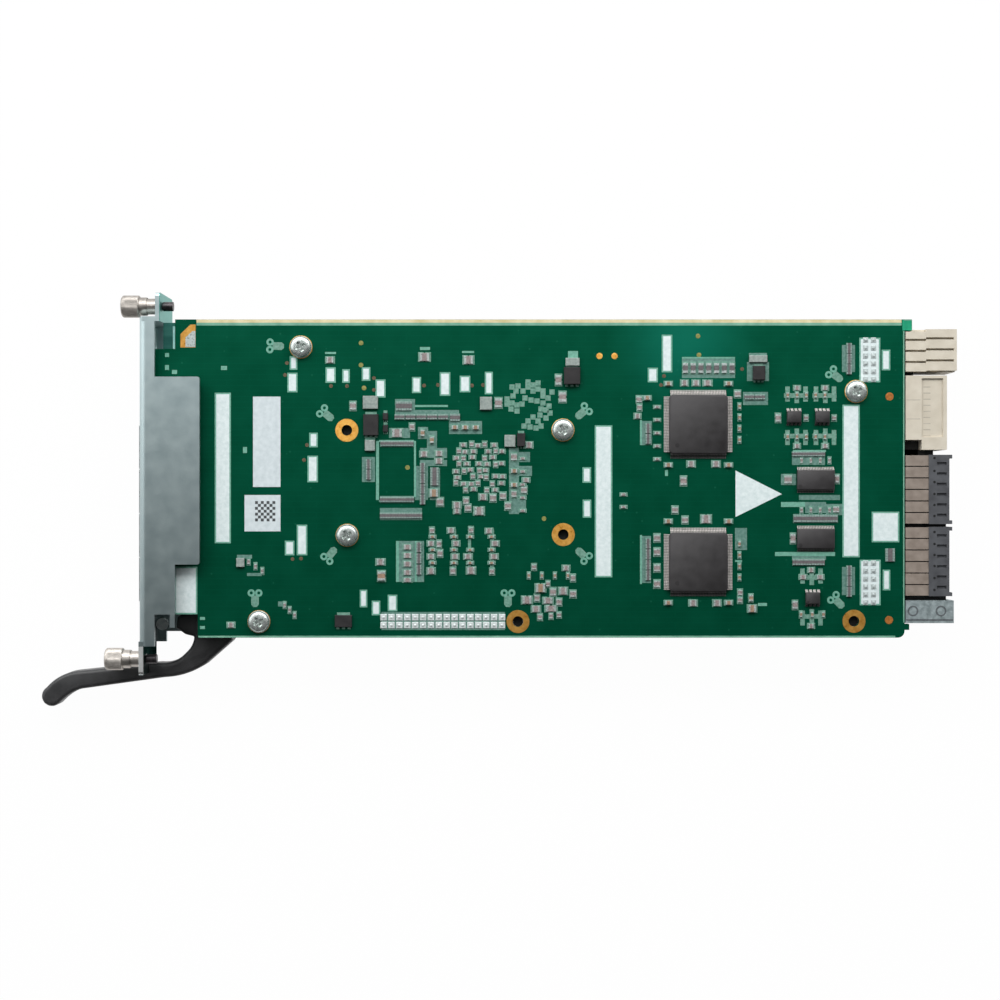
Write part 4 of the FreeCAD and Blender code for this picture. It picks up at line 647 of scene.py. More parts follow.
@dataclass
class BoardFace:
    """Solder side of the circuit board: lacquer, bare laminate, prints, rings and holes."""

    film: float = 0.03
    bars: np.ndarray = span_table(
        (215, 230.6, 393, 543), (595, 612, 425.6, 577), (842.7, 859.5, 405, 557), (174.8, 197, 567, 614),
        (859.6, 880, 338, 382), (860, 880.4, 560, 605), (872, 899, 512, 542))
    labels: np.ndarray = span_table((253, 280.5, 396.6, 487), (244.5, 280.5, 495, 531.4))
    fields: np.ndarray = table(
        (330.6, 375, 9.6, 15), (346, 376, 7, 13), (366, 374, 8, 13), (380.5, 388.5, 9.5, 17.5),
        (293.5, 363, 7, 13), (292.4, 382.5, 9.6, 19), (313.5, 440, 8, 14), (312.7, 469, 10, 26),
        (416.5, 385, 8.5, 15.5), (445, 384, 10, 23), (465, 384, 10, 16), (488.8, 383, 7.5, 22),
        (586.8, 475, 8, 15), (587, 508.7, 8, 17.5), (652.8, 375, 9.5, 14), (667, 353.5, 10, 37),
        (289.6, 548, 9, 14), (302, 540, 10, 30), (363.5, 598.5, 7, 17), (376, 608, 8, 14),
        (392.5, 603, 9, 16), (886, 360, 8, 20), (886.5, 580, 7, 20))
    thin: np.ndarray = span_table(
        (376, 379, 441, 500), (414, 416, 441, 497), (379, 414, 440, 442), (379, 414, 500, 502),
        (415, 448, 405, 407), (781, 805, 502, 507), (775, 835, 552, 556), (380, 422, 513, 515),
        (682, 735, 357, 358.5), (665, 668, 470, 476), (797, 836, 474, 475.5), (420, 430, 347, 350),
        (462, 474, 351, 353), (325, 336, 352, 354), (221, 227, 366, 370), (243, 247, 447, 453),
        (200, 205, 617, 620), (200, 205, 626, 629), (793, 826, 450, 452), (365, 375, 437, 450),
        (568, 578, 351, 362), (735, 742, 560, 562), (758, 767, 603, 606), (396, 399, 541, 582),
        (415, 417, 541, 582), (640, 642, 420, 445), (640, 642, 535, 584), (165, 169, 353, 357),
        (165, 169, 365, 370), (172, 177, 370, 374))
    backings: np.ndarray = span_table(
        (842, 855, 345, 372), (842, 855, 567, 595), (642, 652, 421, 445), (642, 651, 536, 583),
        (735, 747, 528, 550), (743, 768, 392, 405), (682, 735, 358, 378), (395, 415, 399, 420),
        (415, 459, 410, 420), (362, 375, 457, 482), (415, 428, 466, 500), (430, 440, 468, 500),
        (792, 825, 452, 465), (793, 838, 514, 523), (792, 826, 553, 560), (399, 424, 541, 582),
        (380, 414, 440, 447), (380, 414, 496, 503), (380, 422, 508, 520), (749, 767, 353, 365),
        (381.5, 505, 612, 630), (747, 769, 362, 381), (449, 482, 421, 434), (509, 519, 448, 514),
        (519, 530, 452, 462), (519, 532, 466, 476), (519, 526, 484, 512), (427, 437, 431, 450),
        (418, 428, 427, 439), (389, 410, 428, 438), (420, 447, 448, 458), (420, 447, 460, 466),
        (799, 840, 495, 500), (805, 826, 502, 513), (826, 843, 504, 515), (781, 796, 474, 485),
        (237, 252, 554.8, 558.6), (247, 262, 573, 576), (278, 284, 601.5, 606.5))
    squares: np.ndarray = table(
        (507, 399), (507, 404), (511, 409), (517, 411), (517, 405), (513, 396), (516, 391), (512, 387),
        (518, 386), (523, 391), (528, 387), (528, 382), (533, 391), (533, 385), (538, 389), (543, 391),
        (538, 383), (543, 396), (525, 398), (531, 400), (537, 401), (543, 403), (549, 406), (546, 410),
        (541, 409), (540, 415), (546, 418), (538, 421), (533, 417), (528, 421), (524, 426), (530, 427),
        (536, 428), (541, 426), (550, 413), (548, 398), (552, 392), (522, 404), (512, 403))
    trefoils: np.ndarray = table(
        (275, 346), (326, 414), (583, 412), (330, 555), (255, 598), (508, 598), (583, 555), (835, 375),
        (837, 601))
    facings: np.ndarray = table(2.0, 39, 139, -51, 90, 90, -136, 39, 45)
    petal_reach: float = 6.3
    petal_turn: float = 2.5
    petal_radii: Pair = (1.2, 0.5)
    stem: np.ndarray = table((-2.5, 3.8), (-2.5, -3.8), (6.5, -3.8), (9, -1.8), (9, 1.8), (6.5, 3.8))
    screws: np.ndarray = table((-63.8, 49.1), (-77.3, -39.3), (115.0, 34.8), (20.6, 22.4), (-48.9, -11.5))
    holes: np.ndarray = table((-49.0, 22.3), (20.7, -11.3), (6.1, -39.3), (114.3, -39.2))
    rust_dots: np.ndarray = table(
        (287, 363), (285, 375), (331, 386), (347, 386), (307, 445), (304, 460), (374, 378), (374, 390),
        (424, 385.5), (438, 385), (472, 385.5), (483, 385), (664, 376), (661, 385), (742, 369),
        (292.5, 559), (301, 558.5))
    gold_dots: np.ndarray = table(
        (544, 518.6), (361, 343), (361, 365), (364, 388), (407.5, 467.5), (698, 336), (699, 355))
    rear_dots: np.ndarray = table((889.5, 396.5), (889, 620))
    test_dots: np.ndarray = table((599.5, 356), (614.5, 356))
    corner: np.ndarray = table((180.5, 347.5), (180.5, 334), (190.5, 324.5), (195.5, 324.5), (195.5, 347.5))
    corner_tin: np.ndarray = table((185.5, 347), (185.5, 337.5), (192.5, 331), (195.4, 331), (195.4, 347))
    triangle: np.ndarray = table((735.5, 517), (735.5, 470.5), (782, 494))
    checker_start: Pair = (256.5, 502.5)
    checker_side: float = 2.9
    checker_count: int = 7
    bleed: float = 0.6
    fringe: float = 3.0
    square_side: float = 5.2
    strip_span: Pair = (-96.5, 130.7)
    ring_radius: float = 3.7
    hole_radius: float = 1.72
    seat_radius: float = 2.2
    washer_radii: Pair = (3.55, 1.7)
    ring_corners: int = 40
    comb: np.ndarray = table(
        (0, 0, 24, 4.5), (-8.5, -1.5, 4.5, 15), (0.8, -1.5, 4.5, 18), (9.5, -1.5, 4.5, 15))
    comb_places: np.ndarray = table(
        (796, 395.5), (824.5, 395.5), (811, 577.5), (796, 436), (824.5, 436), (811, 616.5))
    columns: np.ndarray = table(
        (432, 551, 4, 44), (454, 551, 4, 44), (469.5, 551, 3, 44), (492, 551, 4, 44))

    def build(self) -> None:
        """Dress the board node and lay everything flat on it."""
        dress("circuit_board", MASK)
        self.laminate()
        self.prints()
        self.rings()

    @staticmethod
    def lay(name: str, finish: Finish, *solids: Solid) -> None:
        """Make one piece in the board's own slot."""
        make_piece(name, list(solids), finish)

    def laminate(self) -> None:
        """Bare guide strip, tab, cut edges and the chamfered ground pad at the front corner."""
        face = BOARD_FACE
        low, high = box_of("circuit_board")
        strip = np.array([[*self.strip_span, high[1] - 1.05, high[1] - 0.04, 17.9, 17.98]])
        self.lay("guide_strip_face", STRIP_LAMINATE, slabs(strip, 0.02))
        tab = np.array([[high[0] - 3.1, high[0] - 0.06, 55.06, 58.5, SEAT, face + self.film]])
        self.lay("tab_faces", TAB_MASK, slabs(tab, 0.01))
        edges = np.array([
            [-95.8, 128.6, low[1] + 0.04, low[1] + 0.62, SEAT, face + 0.02],
            [131.15, 131.55, -39.0, 54.9, SEAT, face + 0.02],
            [*self.strip_span, high[1] - 1.95, high[1] - 1.05, 17.9, 17.97],
            [high[0] - 2.6, high[0] - 0.06, 58.2, 58.54, face + 0.02, face + 0.05]])
        self.lay("cut_edges", EDGE_LAMINATE, slabs(edges, 0.008))
        self.lay("ground_corner", GOLD, prism(seen(self.corner), SEAT, face + 0.03))
        self.lay("ground_corner_tin", TIN, prism(seen(self.corner_tin), face, face + 0.05))

    def prints(self) -> None:
        """White fields with a pale fringe, thin prints, trefoils, labels and the plain triangle."""
        low, high = SEAT, BOARD_FACE + self.film
        size = np.array([0.0, 0.0, 1.0, 1.0])
        fringe = np.concatenate([self.bars, self.fields]) + size * self.bleed
        white = fringe - size * self.fringe
        self.lay("print_fringe", PALE_PRINT, slabs(seen_boxes(fringe, low, high - 0.012), 0.005))
        self.lay("print_fields", WHITE_PRINT, slabs(seen_boxes(white, low, high), 0.008),
                 prism(seen(self.triangle), low, high))
        facing = np.radians(self.facings)
        turn = np.concatenate([facing + self.petal_turn, facing - self.petal_turn])
        petals = np.tile(self.trefoils, (2, 1))
        petals += self.petal_reach * np.stack([np.cos(turn), np.sin(turn)], axis=1)
        lobes = washer(seen(petals), *self.petal_radii, low, high - 0.006, 16)
        stems = [prism(seen(middle + self.stem @ self.turned(angle)), low, high - 0.012)
                 for middle, angle in zip(self.trefoils, facing)]
        bed = np.concatenate([self.squares, np.full_like(self.squares, self.square_side)], axis=1)
        wide = stepped(seen_boxes(self.backings, low, high - 0.025))
        self.lay("wide_pads", BACKING, slabs(wide, 0.005))
        pale = stepped(seen_boxes(np.concatenate([self.crosses(), bed]), low, high - 0.012))
        self.lay("pale_pads", PAD, slabs(pale, 0.005), *stems)
        self.lay("print_lines", PALE_PRINT, slabs(stepped(seen_boxes(self.thin, low, high)), 0.006), lobes)
        self.lay("print_labels", PAPER, slabs(seen_boxes(self.labels, low, high + 0.03), 0.015))
        down, across = np.divmod(np.arange(self.checker_count ** 2), self.checker_count)
        dark = np.stack([across, down], axis=1)[(across + down) % 2 == 0]
        spots = np.array(self.checker_start) + self.checker_side * dark
        squares = np.concatenate([spots, np.full_like(spots, self.checker_side)], axis=1)
        self.lay("label_squares", INK, slabs(seen_boxes(squares, high, high + 0.045), 0.005))

    @staticmethod
    def turned(angle: float) -> np.ndarray:
        """Give the matrix that turns rows of picture points by an angle."""
        return np.array([[math.cos(angle), math.sin(angle)], [-math.sin(angle), math.cos(angle)]])

    def crosses(self) -> np.ndarray:
        """Pad combs round the small two-row chips: one bar across three upright ones, above and below each.

        Returns:
            Rectangles in picture units.
        """
        combs = np.tile(self.comb, (len(self.comb_places), 1, 1))
        combs[len(combs) // 2:, :, 1] *= -1
        combs[..., :2] += self.comb_places[:, None]
        return np.concatenate([combs.reshape(-1, 4), self.columns])

    def rings(self) -> None:
        """Gold rings round every hole, dark discs of painted shade below the open ones, gold and copper
        dots.
        """
        face = BOARD_FACE
        holes, screws = self.holes + SHIFT, self.screws + SHIFT
        rims = washer(holes, self.ring_radius, self.hole_radius, SEAT, face + 0.05, self.ring_corners)
        seats = washer(screws, self.ring_radius, self.seat_radius, SEAT, face + 0.04, self.ring_corners)
        plates = washer(screws, *self.washer_radii, face + 0.03, face + 0.45, self.ring_corners)
        make_piece("screw_washers", [plates], SCREW_PLATE)
        self.lay("marking_dots", ORANGE, self.dots(self.rear_dots, 1.3, 0.9, 24))
        self.lay("gold_rings", RING_GOLD, rims, seats, self.dots(self.test_dots, 1.0, 0.7, 20))
        self.lay("gold_dots", DULL_GOLD, self.dots(self.gold_dots, 0.75, 0.5, 18))
        # Painted shade: dark discs inside the open holes, where the floor would show through.
        self.lay("hole_shade_discs", HOLE, turned(holes, [1.69, 1.69, 0.05], [16.25, 16.4, 16.42], 24))
        self.lay("copper_dots", COPPER, self.dots(self.rust_dots, 0.62, 0.4, 16))

    @staticmethod
    def dots(places: np.ndarray, outer: float, inner: float, corners: int) -> Solid:
        """Low domed dots at picture places, of an outer radius and the radius of their crown."""
        dome = BOARD_FACE + np.array([-0.01, 0.03, 0.05, 0.055])
        return turned(seen(places), [outer, outer, inner, 0.05], dome, corners)


@dataclass
class BoardScrews:
    """Screws that hold brackets, module and heat sink under the board."""

    places: np.ndarray
    head_radius: float = 3.3
    head_height: float = 2.0
    shank_radius: float = 1.5
    recess: float = 0.95
    recess_turn: float = 28.0
    arm_half: float = 0.52
    arm_reach: float = 1.75
    dome: np.ndarray = table(
        (3.0, 0.0), (3.0, 1.1), (2.86, 1.42), (2.6, 1.64), (2.3, 1.78), (2.0, 1.87), (1.8, 1.9),
        (1.6, 1.92), (1.4, 1.94), (1.2, 1.96), (1.0, 1.97), (0.8, 1.98), (0.6, 1.99), (0.4, 2.0),
        (0.2, 2.0), (0.03, 2.0))

    def build(self) -> None:
        """Heads: radius and height of a dome on a grid, lowered where a cross recess runs."""
        low = box_of("board_screws")[0, 2]
        face = BOARD_FACE
        stem = [0.03, self.shank_radius, self.shank_radius, self.head_radius - 0.05]
        radius = np.concatenate([stem, self.dome[:, 0] * self.head_radius / 3.0])
        height = np.concatenate([[low, low, face, face], face + self.dome[:, 1] * self.head_height / 2.0])
        flat = radius[:, None, None] * circle(48)
        turn = math.radians(self.recess_turn)
        axes = np.array([[math.cos(turn), -math.sin(turn)], [math.sin(turn), math.cos(turn)]])
        across = np.abs(flat @ axes).min(axis=-1)
        width = np.clip((self.arm_half - across) / 0.2, 0, 1)
        arm = width * np.clip((self.arm_reach - radius[:, None]) / 0.25, 0, 1)
        arm[:len(stem)] = 0
        ring = np.concatenate([flat, (height[:, None] - self.recess * arm)[..., None]], axis=-1)
        middles = np.pad(self.places + SHIFT, ((0, 0), (0, 1)))
        make_piece("board_screw_set", [loft(middles[:, None, None] + ring)], SCREW_PLATE,
                   replaced=("board_screws",))


class Row(Enum):
    """Side of a chip that a row of leads leaves from, as outward X and Y."""

    UPPER = (0.0, 1.0)
    LOWER = (0.0, -1.0)
    LEFT = (-1.0, 0.0)
    RIGHT = (1.0, 0.0)


@dataclass
class LeadedChip:
    """A moulded chip with gull-wing leads on two or four sides."""

    name: str
    node: str
    places: np.ndarray
    size: Pair
    height: float
    lead_reach: float
    pitch: float
    lead_width: float
    lead_count: int
    rows: tuple[Row, ...]
    corner: float = 0.5
    standoff: float = 0.1
    draft: np.ndarray = table(0.12, 0, 0, 0.12, 0.2)
    lead_steps: np.ndarray = table(-0.2, 0.28, 0.5, 1.0)
    lead_thickness: float = 0.18
    foot_middle: float = 0.8
    pad_length: float = 0.52
    pad_width: float = 0.7
    outline: np.ndarray = table(
        (1, -1, 0, 1), (1, 1, 0, -1), (1, 1, -1, 0), (-1, 1, 1, 0), (-1, 1, 0, -1), (-1, -1, 0, 1),
        (-1, -1, 1, 0), (1, -1, -1, 0))

    def build(self) -> None:
        """Moulding, leads, pads and the dimple that marks the first lead."""
        middles = np.atleast_2d(self.places) + SHIFT
        low = BOARD_FACE + self.standoff
        high = low + self.height
        half = np.array(self.size) / 2
        corners = self.outline[:, :2] * half + self.outline[:, 2:] * self.corner
        levels = [low, low + 0.45 * self.height, low + 0.55 * self.height, high - 0.06, high]
        ring = corners - np.sign(corners) * self.draft[:, None, None]
        body = raised(middles[:, None, None, :] + ring, levels)
        make_piece(self.name + "_body", [body], CHIP, replaced=(self.node,))
        leads = {side: self.row(middles, half, side) for side in self.rows}
        lit = [side for side in self.rows if side is not Row.LOWER]
        make_piece(self.name + "_leads", [leads[side][0] for side in lit], LEAD)
        make_piece(self.name + "_lower_leads", [leads[Row.LOWER][0]], LEAD_SHADE)
        make_piece(self.name + "_pads", [leads[side][1] for side in lit], PAD)
        make_piece(self.name + "_lower_pads", [leads[Row.LOWER][1]], PAD_SHADE)
        dent = middles + np.array([-1.0, -1.0]) * (half - 0.13 * self.size[1] - 0.2)
        radius = min(0.7, 0.09 * self.size[1] + 0.1)
        rise = [high - 0.1, high + 0.004, high + 0.01, high + 0.01]
        dimple = turned(dent, [radius, radius, radius * 0.8, 0.04], rise, 20)
        make_piece(self.name + "_dimple", [dimple], DARK_CHIP)

    def row(self, middles: np.ndarray, half: np.ndarray, side: Row) -> tuple[Solid, Solid]:
        """One row of leads: a flat strip carried out, down and out again, with a pad under each foot.

        Args:
            middles: middles of the chips in mm.
            half: half sizes of the moulding in mm.
            side: side that the row leaves from.

        Returns:
            The leads and the pads.
        """
        out = np.array(side.value)
        along = np.array([abs(out[1]), abs(out[0])])
        place = (np.arange(self.lead_count) - (self.lead_count - 1) / 2) * self.pitch
        root = (middles[:, None, :] + out * half + along * place[None, :, None]).reshape(-1, 2)
        reach = self.lead_steps * self.lead_reach
        root_level = 0.55 * (self.height + self.standoff)
        level = BOARD_FACE + np.array([root_level, root_level, 0.06, 0.04])
        wide = np.array([-0.5, 0.5, 0.5, -0.5]) * self.lead_width
        thick = np.array([0.0, 0.0, 1.0, 1.0]) * self.lead_thickness
        flat = root[:, None, None, :] + out * reach[None, :, None, None] + along * wide[None, None, :, None]
        z = np.broadcast_to((level[:, None] + thick[None, :])[None], flat.shape[:3])
        leads = loft(np.concatenate([flat, z[..., None]], axis=-1))
        foot = root + out * self.lead_reach * self.foot_middle
        size = np.abs(out) * self.lead_reach * self.pad_length + along * (self.pitch * self.pad_width)
        return leads, slabs(standing(foot, size / 2, SEAT, BOARD_FACE + 0.05), 0.02)


@dataclass
class ChipParts:
    """Capacitors, resistors, networks and blocks soldered flat on the solder side."""

    resistors: np.ndarray = table(
        (424.5, 357, 13, 8), (468.5, 360, 12, 8), (330, 360, 9, 6), (353, 406, 6, 10), (562.5, 397, 7, 13),
        (412, 427, 5, 8), (397, 433, 13, 8), (476, 412, 12, 6), (498.5, 403, 7, 12), (558.5, 380, 6, 13),
        (424, 454, 9, 5.5), (424, 462, 9, 5.5), (439, 453.5, 9, 5.5), (439, 461, 9, 5.5), (440, 502, 9, 7),
        (428, 503, 9, 7), (448, 498, 8, 6), (457, 505, 9, 6), (468, 508, 8, 6), (479, 511, 12, 8),
        (483, 497, 9, 6), (493, 498, 6, 9), (503, 496, 8, 6), (508, 506, 6, 9), (514, 457, 6, 9),
        (522, 458, 8, 6), (522, 471, 8, 6), (520, 503, 5, 9), (524, 490, 8, 6), (529, 445, 6, 8),
        (380.5, 562, 10, 6), (388, 586, 6, 12), (245, 561, 8, 5), (257, 568, 8, 5), (283, 603, 8, 5),
        (291, 612, 8, 5), (231, 625, 8, 5), (639, 399.5, 7, 5.5), (639.5, 407.5, 4.5, 7),
        (637.5, 416, 7, 5), (683.5, 481, 6, 11), (623.5, 493.5, 11, 5.5), (623.5, 506.5, 11, 5.5),
        (737.5, 394, 8, 6), (737.5, 405, 8, 6), (737.5, 415, 8, 6), (737.5, 428, 8, 6), (737.5, 440, 8, 6),
        (737.5, 561, 8, 6), (737.5, 581, 8, 6), (657, 407, 6, 8), (657, 420, 6, 8), (657, 448, 6, 9),
        (657, 538, 6, 9), (657, 552, 6, 9), (657, 568, 6, 9), (657, 584, 6, 9), (684.5, 383, 8, 5.5),
        (696, 383, 8, 5.5), (707.5, 383, 10, 5.5), (722, 383, 11, 5.5), (668, 384, 9, 6), (691, 464, 9, 6),
        (716, 464, 9, 6), (675, 510, 8, 6), (685, 520, 8, 6), (706, 519, 12, 8), (693, 603, 9, 6),
        (717, 603, 9, 6), (407.5, 547, 10, 5), (407.5, 555.5, 10, 5), (407.5, 564, 10, 5),
        (407.5, 572.5, 10, 5), (407.5, 580, 10, 4), (740, 592.5, 6, 5), (740, 600, 6, 5))
    capacitors: np.ndarray = table(
        (453.5, 427, 9, 8), (464.5, 427, 9, 8), (475.5, 427, 9, 8), (422.5, 433, 5.5, 11),
        (432, 440, 8, 14), (514, 471, 8, 7), (514, 485, 8, 9), (649, 399.5, 11, 6), (752, 608.5, 10, 7),
        (547.5, 576, 9, 10), (540.5, 588, 9, 11), (381.5, 576, 10, 9), (434, 493, 8, 10))
    networks: np.ndarray = table(
        (404, 417.5, 20, 7), (431, 417.5, 28, 7), (455, 417.5, 10, 7), (404, 406, 16, 9),
        (368.5, 469.5, 10, 24), (421, 481, 9, 30), (434.5, 476.5, 8, 18), (397, 499.5, 34, 5),
        (397, 443.5, 33, 5), (401, 515.5, 42, 5.5), (420, 561, 6, 40), (708.5, 368, 51, 14),
        (648.5, 433, 12, 20), (647, 560, 10, 44), (740.5, 540, 13, 24), (755, 398.5, 23, 12),
        (808.5, 454, 33, 4.5), (815.5, 518.5, 44, 7), (808.5, 562, 32, 6), (890, 555, 9, 13),
        (848.5, 358.5, 12, 26), (848.5, 581, 12, 27))
    blocks: np.ndarray = table(
        (370.5, 402.5, 15, 13), (486, 403.5, 12, 13), (572.5, 362, 14, 8), (510, 441, 11, 12),
        (758, 359, 18, 7), (370, 445.5, 10, 11), (240.5, 562.5, 8, 9))
    comb_reach: float = 90.0
    comb_level: float = 41.0
    chips: np.ndarray = table(
        (385.5, 416.5, 5, 7), (385.5, 428.5, 5, 7), (343.5, 621, 17, 12), (521, 440, 8, 13))
    groups: np.ndarray = table(
        (432, 530.5, 6, 5), (451, 530.5, 8, 5), (471, 530, 6, 5), (489, 531, 8, 5), (439, 544, 6, 6),
        (431, 543.5, 8, 5), (456, 543.5, 8, 5), (475, 547, 8, 4.5), (495, 543.5, 9, 5), (440, 553.5, 5, 8),
        (431, 556.5, 8, 5), (455, 556.5, 8, 5), (468, 556.5, 9, 5), (494, 556.5, 9, 5), (431, 571, 9, 6),
        (453, 571, 7, 6), (471, 570.5, 10, 7), (492, 571.5, 6, 5), (462, 541, 5, 5), (499, 551, 5, 6),
        (534, 567, 6, 5), (566, 568, 8, 5), (573, 578, 6, 6), (539, 587, 12, 8), (553, 592, 8, 7),
        (563, 591, 10, 7), (573, 594, 8, 6), (527, 600, 9, 10), (537, 598, 5, 8), (548, 600.5, 12, 6),
        (559, 602, 7, 6), (536, 609, 10, 6), (551, 608.5, 14, 6), (540, 617, 6, 5), (551, 616, 5, 5),
        (559, 615, 4, 6), (548, 584, 5, 5), (797, 388, 5, 6), (825, 388, 5, 6), (797, 446, 5, 6),
        (825, 446, 5, 6), (806, 418, 4, 6), (834, 418, 4, 6), (778, 418, 5, 10), (811, 570, 5, 6),
        (803, 577, 6, 6), (820, 577, 6, 6), (811, 626, 5, 6), (795, 605, 5, 10), (788, 479.5, 10, 8),
        (837, 479, 4, 10), (793, 538.5, 5, 12), (815, 508, 8, 6), (836, 509.5, 8, 6), (449, 499, 7, 6),
        (457, 511, 7, 5), (466, 501, 7, 6), (474, 503, 6, 6), (512, 450, 6, 5), (526, 480, 6, 6),
        (514, 494, 7, 6), (514, 503, 7, 6), (506, 512, 6, 5), (527, 512, 6, 5), (396, 428, 6, 5))
    field_start: Pair = (457.0, 445.0)
    field_grid: tuple[int, int] = (7, 8)
    field_pitch: Pair = (7.2, 6.4)
    field_shake: Pair = (1.3, 0.8)
    field_stagger: float = 1.6
    field_part: Pair = (6.4, 3.6)
    field_turned: Pair = (4.0, 5.8)
    field_seed: int = 11
    inward_x: np.ndarray = table(1, -1, 0, 0)
    inward_y: np.ndarray = table(0, 0, 1, -1)
    taken: np.ndarray = field(default_factory=lambda: np.empty((0, 6)))
    room: float = 0.04
    cap_share: float = 0.25
    core_trim: float = 0.13
    pad_margins: Pair = (0.27, 0.25)
    strip_trim: float = 0.22
    strip_margin: float = 0.12
    tooth_pitch: float = 0.85
    tooth_start: float = 0.08
    tooth_share: float = 0.84
    tooth_depth: float = 0.27

    def build(self) -> None:
        """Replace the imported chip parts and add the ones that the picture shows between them."""
        fixed = [node_boxes(node) for node in
                 ("chip_capacitors", "chip_resistors", "chip_networks", "regulators")]
        self.taken = np.concatenate(fixed + [self.keep_out()])
        self.parts("chip_capacitor", fixed[0], CERAMIC, ("chip_capacitors",))
        self.parts("chip_resistor", fixed[1], GLAZE, ("chip_resistors",))
        middle = fixed[2].reshape(-1, 3, 2).mean(axis=2)
        comb = (middle[:, 0] < self.comb_reach) & (middle[:, 1] > self.comb_level)
        self.strips("chip_network", fixed[2][~comb], ("chip_networks",))
        self.parts("comb_network", fixed[2][comb], NETWORK_BODY, ())
        self.moulded("regulator", fixed[3], ("regulators",))
        small = self.core(self.free(self.capacitors, 0.85))
        self.parts("small_capacitor", small, CERAMIC, ())
        self.strips("strip_network", self.free(self.networks, 0.5), ())
        make_piece("grey_blocks", [slabs(self.free(self.blocks, 0.9), 0.15)], BLOCK)
        self.moulded("transistor", self.free(self.chips, 0.9), ())
        wanted = np.concatenate([self.resistors, self.scattered(), self.groups])
        self.parts("small_resistor", self.core(self.free(wanted, 0.45)), GLAZE, ())

    def keep_out(self) -> np.ndarray:
        """Give the boxes of the large chips, which nothing may stand on."""
        return np.concatenate([node_boxes(node) for node in (
            "quad_chip_upper", "quad_chip_lower", "bus_chip_upper", "bus_chip_lower", "small_chips")])

    def scattered(self) -> np.ndarray:
        """Dense field of small parts: a shaken grid with every few places left out, some parts turned.

        Returns:
            Rectangles in picture units.
        """
        columns, lines = self.field_grid
        down, across = np.divmod(np.arange(columns * lines), columns)
        spots = np.stack([across, down], axis=1)[(across * 3 + down * 5) % 7 > 0]
        turned_part = (spots @ np.array([2, 3])) % 5 > 2
        shake = np.random.default_rng(self.field_seed).uniform(-1.0, 1.0, spots.shape)
        middles = np.array(self.field_start) + spots * self.field_pitch + shake * self.field_shake
        middles[:, 0] += self.field_stagger * (spots[:, 1] % 2)
        size = np.where(turned_part[:, None], self.field_turned, self.field_part)
        return np.concatenate([middles, size], axis=1)

    def core(self, boxes: np.ndarray) -> np.ndarray:
        """Take the part between its pads out of rectangles that hold both, by a share of the long side.

        Args:
            boxes: boxes of parts with their pads.

        Returns:
            Boxes of the parts alone.
        """
        wide, long, _ = sides(boxes)
        trim = np.where(wide[:, None], self.inward_x, self.inward_y) * (self.core_trim * long)[:, None]
        return np.concatenate([boxes[:, :4] + trim, boxes[:, 4:]], axis=1)

    def free(self, rows: np.ndarray, height: float) -> np.ndarray:
        """Stand boxes on the board where no taken one nor an earlier one is in the way, and note them.

        Args:
            rows: wanted places as rectangles in picture units.
            height: height of the boxes above the board in mm.

        Returns:
            The boxes that have room.
        """
        def meets(one: np.ndarray, other: np.ndarray) -> np.ndarray:
            """Say which boxes of two lists overlap in plan."""
            return ((one[:, None, [0, 2]] < other[None, :, [1, 3]] + self.room)
                    & (one[:, None, [1, 3]] > other[None, :, [0, 2]] - self.room)).all(axis=-1)
        boxes = seen_boxes(rows, SEAT, BOARD_FACE + height)
        boxes = boxes[~meets(boxes, self.taken).any(axis=1)]
        boxes = boxes[~np.tril(meets(boxes, boxes), -1).any(axis=1)]
        self.taken = np.concatenate([self.taken, boxes])
        return boxes

    @staticmethod
    def laid(boxes: np.ndarray, height: float) -> np.ndarray:
        """Lower boxes to thin pads on the board."""
        return np.concatenate([boxes[:, :4], np.tile([SEAT, BOARD_FACE + height], (len(boxes), 1))], axis=1)

    def parts(self, name: str, boxes: np.ndarray, finish: Finish,
              replaced: tuple[str, ...]) -> None:
        """Bodies with a metal cap on each end, standing on two pads.

        Args:
            name: first words of the piece names.
            boxes: boxes of the parts.
            finish: finish of the bodies.
            replaced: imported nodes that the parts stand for.
        """
        wide, long, _ = sides(boxes)
        long = long[:, None]
        cap = self.cap_share * long
        along = np.where(wide[:, None], np.abs(self.inward_x), np.abs(self.inward_y))
        side = self.inward_x + self.inward_y
        body = boxes.copy()
        body[:, :4] += along * side * (cap - 0.02) + (1 - along) * side * 0.03
        body[:, 5] -= 0.03
        make_piece(name + "_bodies", [slabs(body, 0.05)], finish, replaced=replaced)
        first, last = boxes.copy(), boxes.copy()
        first[:, :4] += along * (side < 0) * (cap - long)
        last[:, :4] += along * (side > 0) * (long - cap)
        ends = np.concatenate([first, last])
        make_piece(name + "_ends", [slabs(ends, 0.06)], TIN)
        pads = self.laid(ends, 0.1)
        margin, end_margin = self.pad_margins
        pads[:, :4] -= side * margin + np.concatenate([along, along]) * side * end_margin
        make_piece(name + "_pads", [slabs(stepped(pads, 0.003), 0.05)], PAD)

    def strips(self, name: str, boxes: np.ndarray, replaced: tuple[str, ...]) -> None:
        """Networks: a flat body with a row of end caps and pads along each long side.

        Args:
            name: first words of the piece names.
            boxes: boxes of the networks.
            replaced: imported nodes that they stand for.
        """
        wide, _, short = sides(boxes)
        trim = (self.strip_trim * short)[:, None] * np.where(wide[:, None], self.inward_y, self.inward_x)
        body = np.concatenate([boxes[:, :4] + trim, boxes[:, 4:]], axis=1)
        make_piece(name + "_bodies", [slabs(body, 0.05)], NETWORK_BODY, replaced=replaced)
        caps = np.concatenate([self.teeth(box, bool(flat)) for box, flat in zip(boxes, wide)])
        make_piece(name + "_ends", [slabs(caps, 0.04)], STRIP_END)
        pads = self.laid(caps, 0.06)
        pads[:, :4] -= (self.inward_x + self.inward_y) * self.strip_margin
        make_piece(name + "_pads", [slabs(pads, 0.03)], PAD)

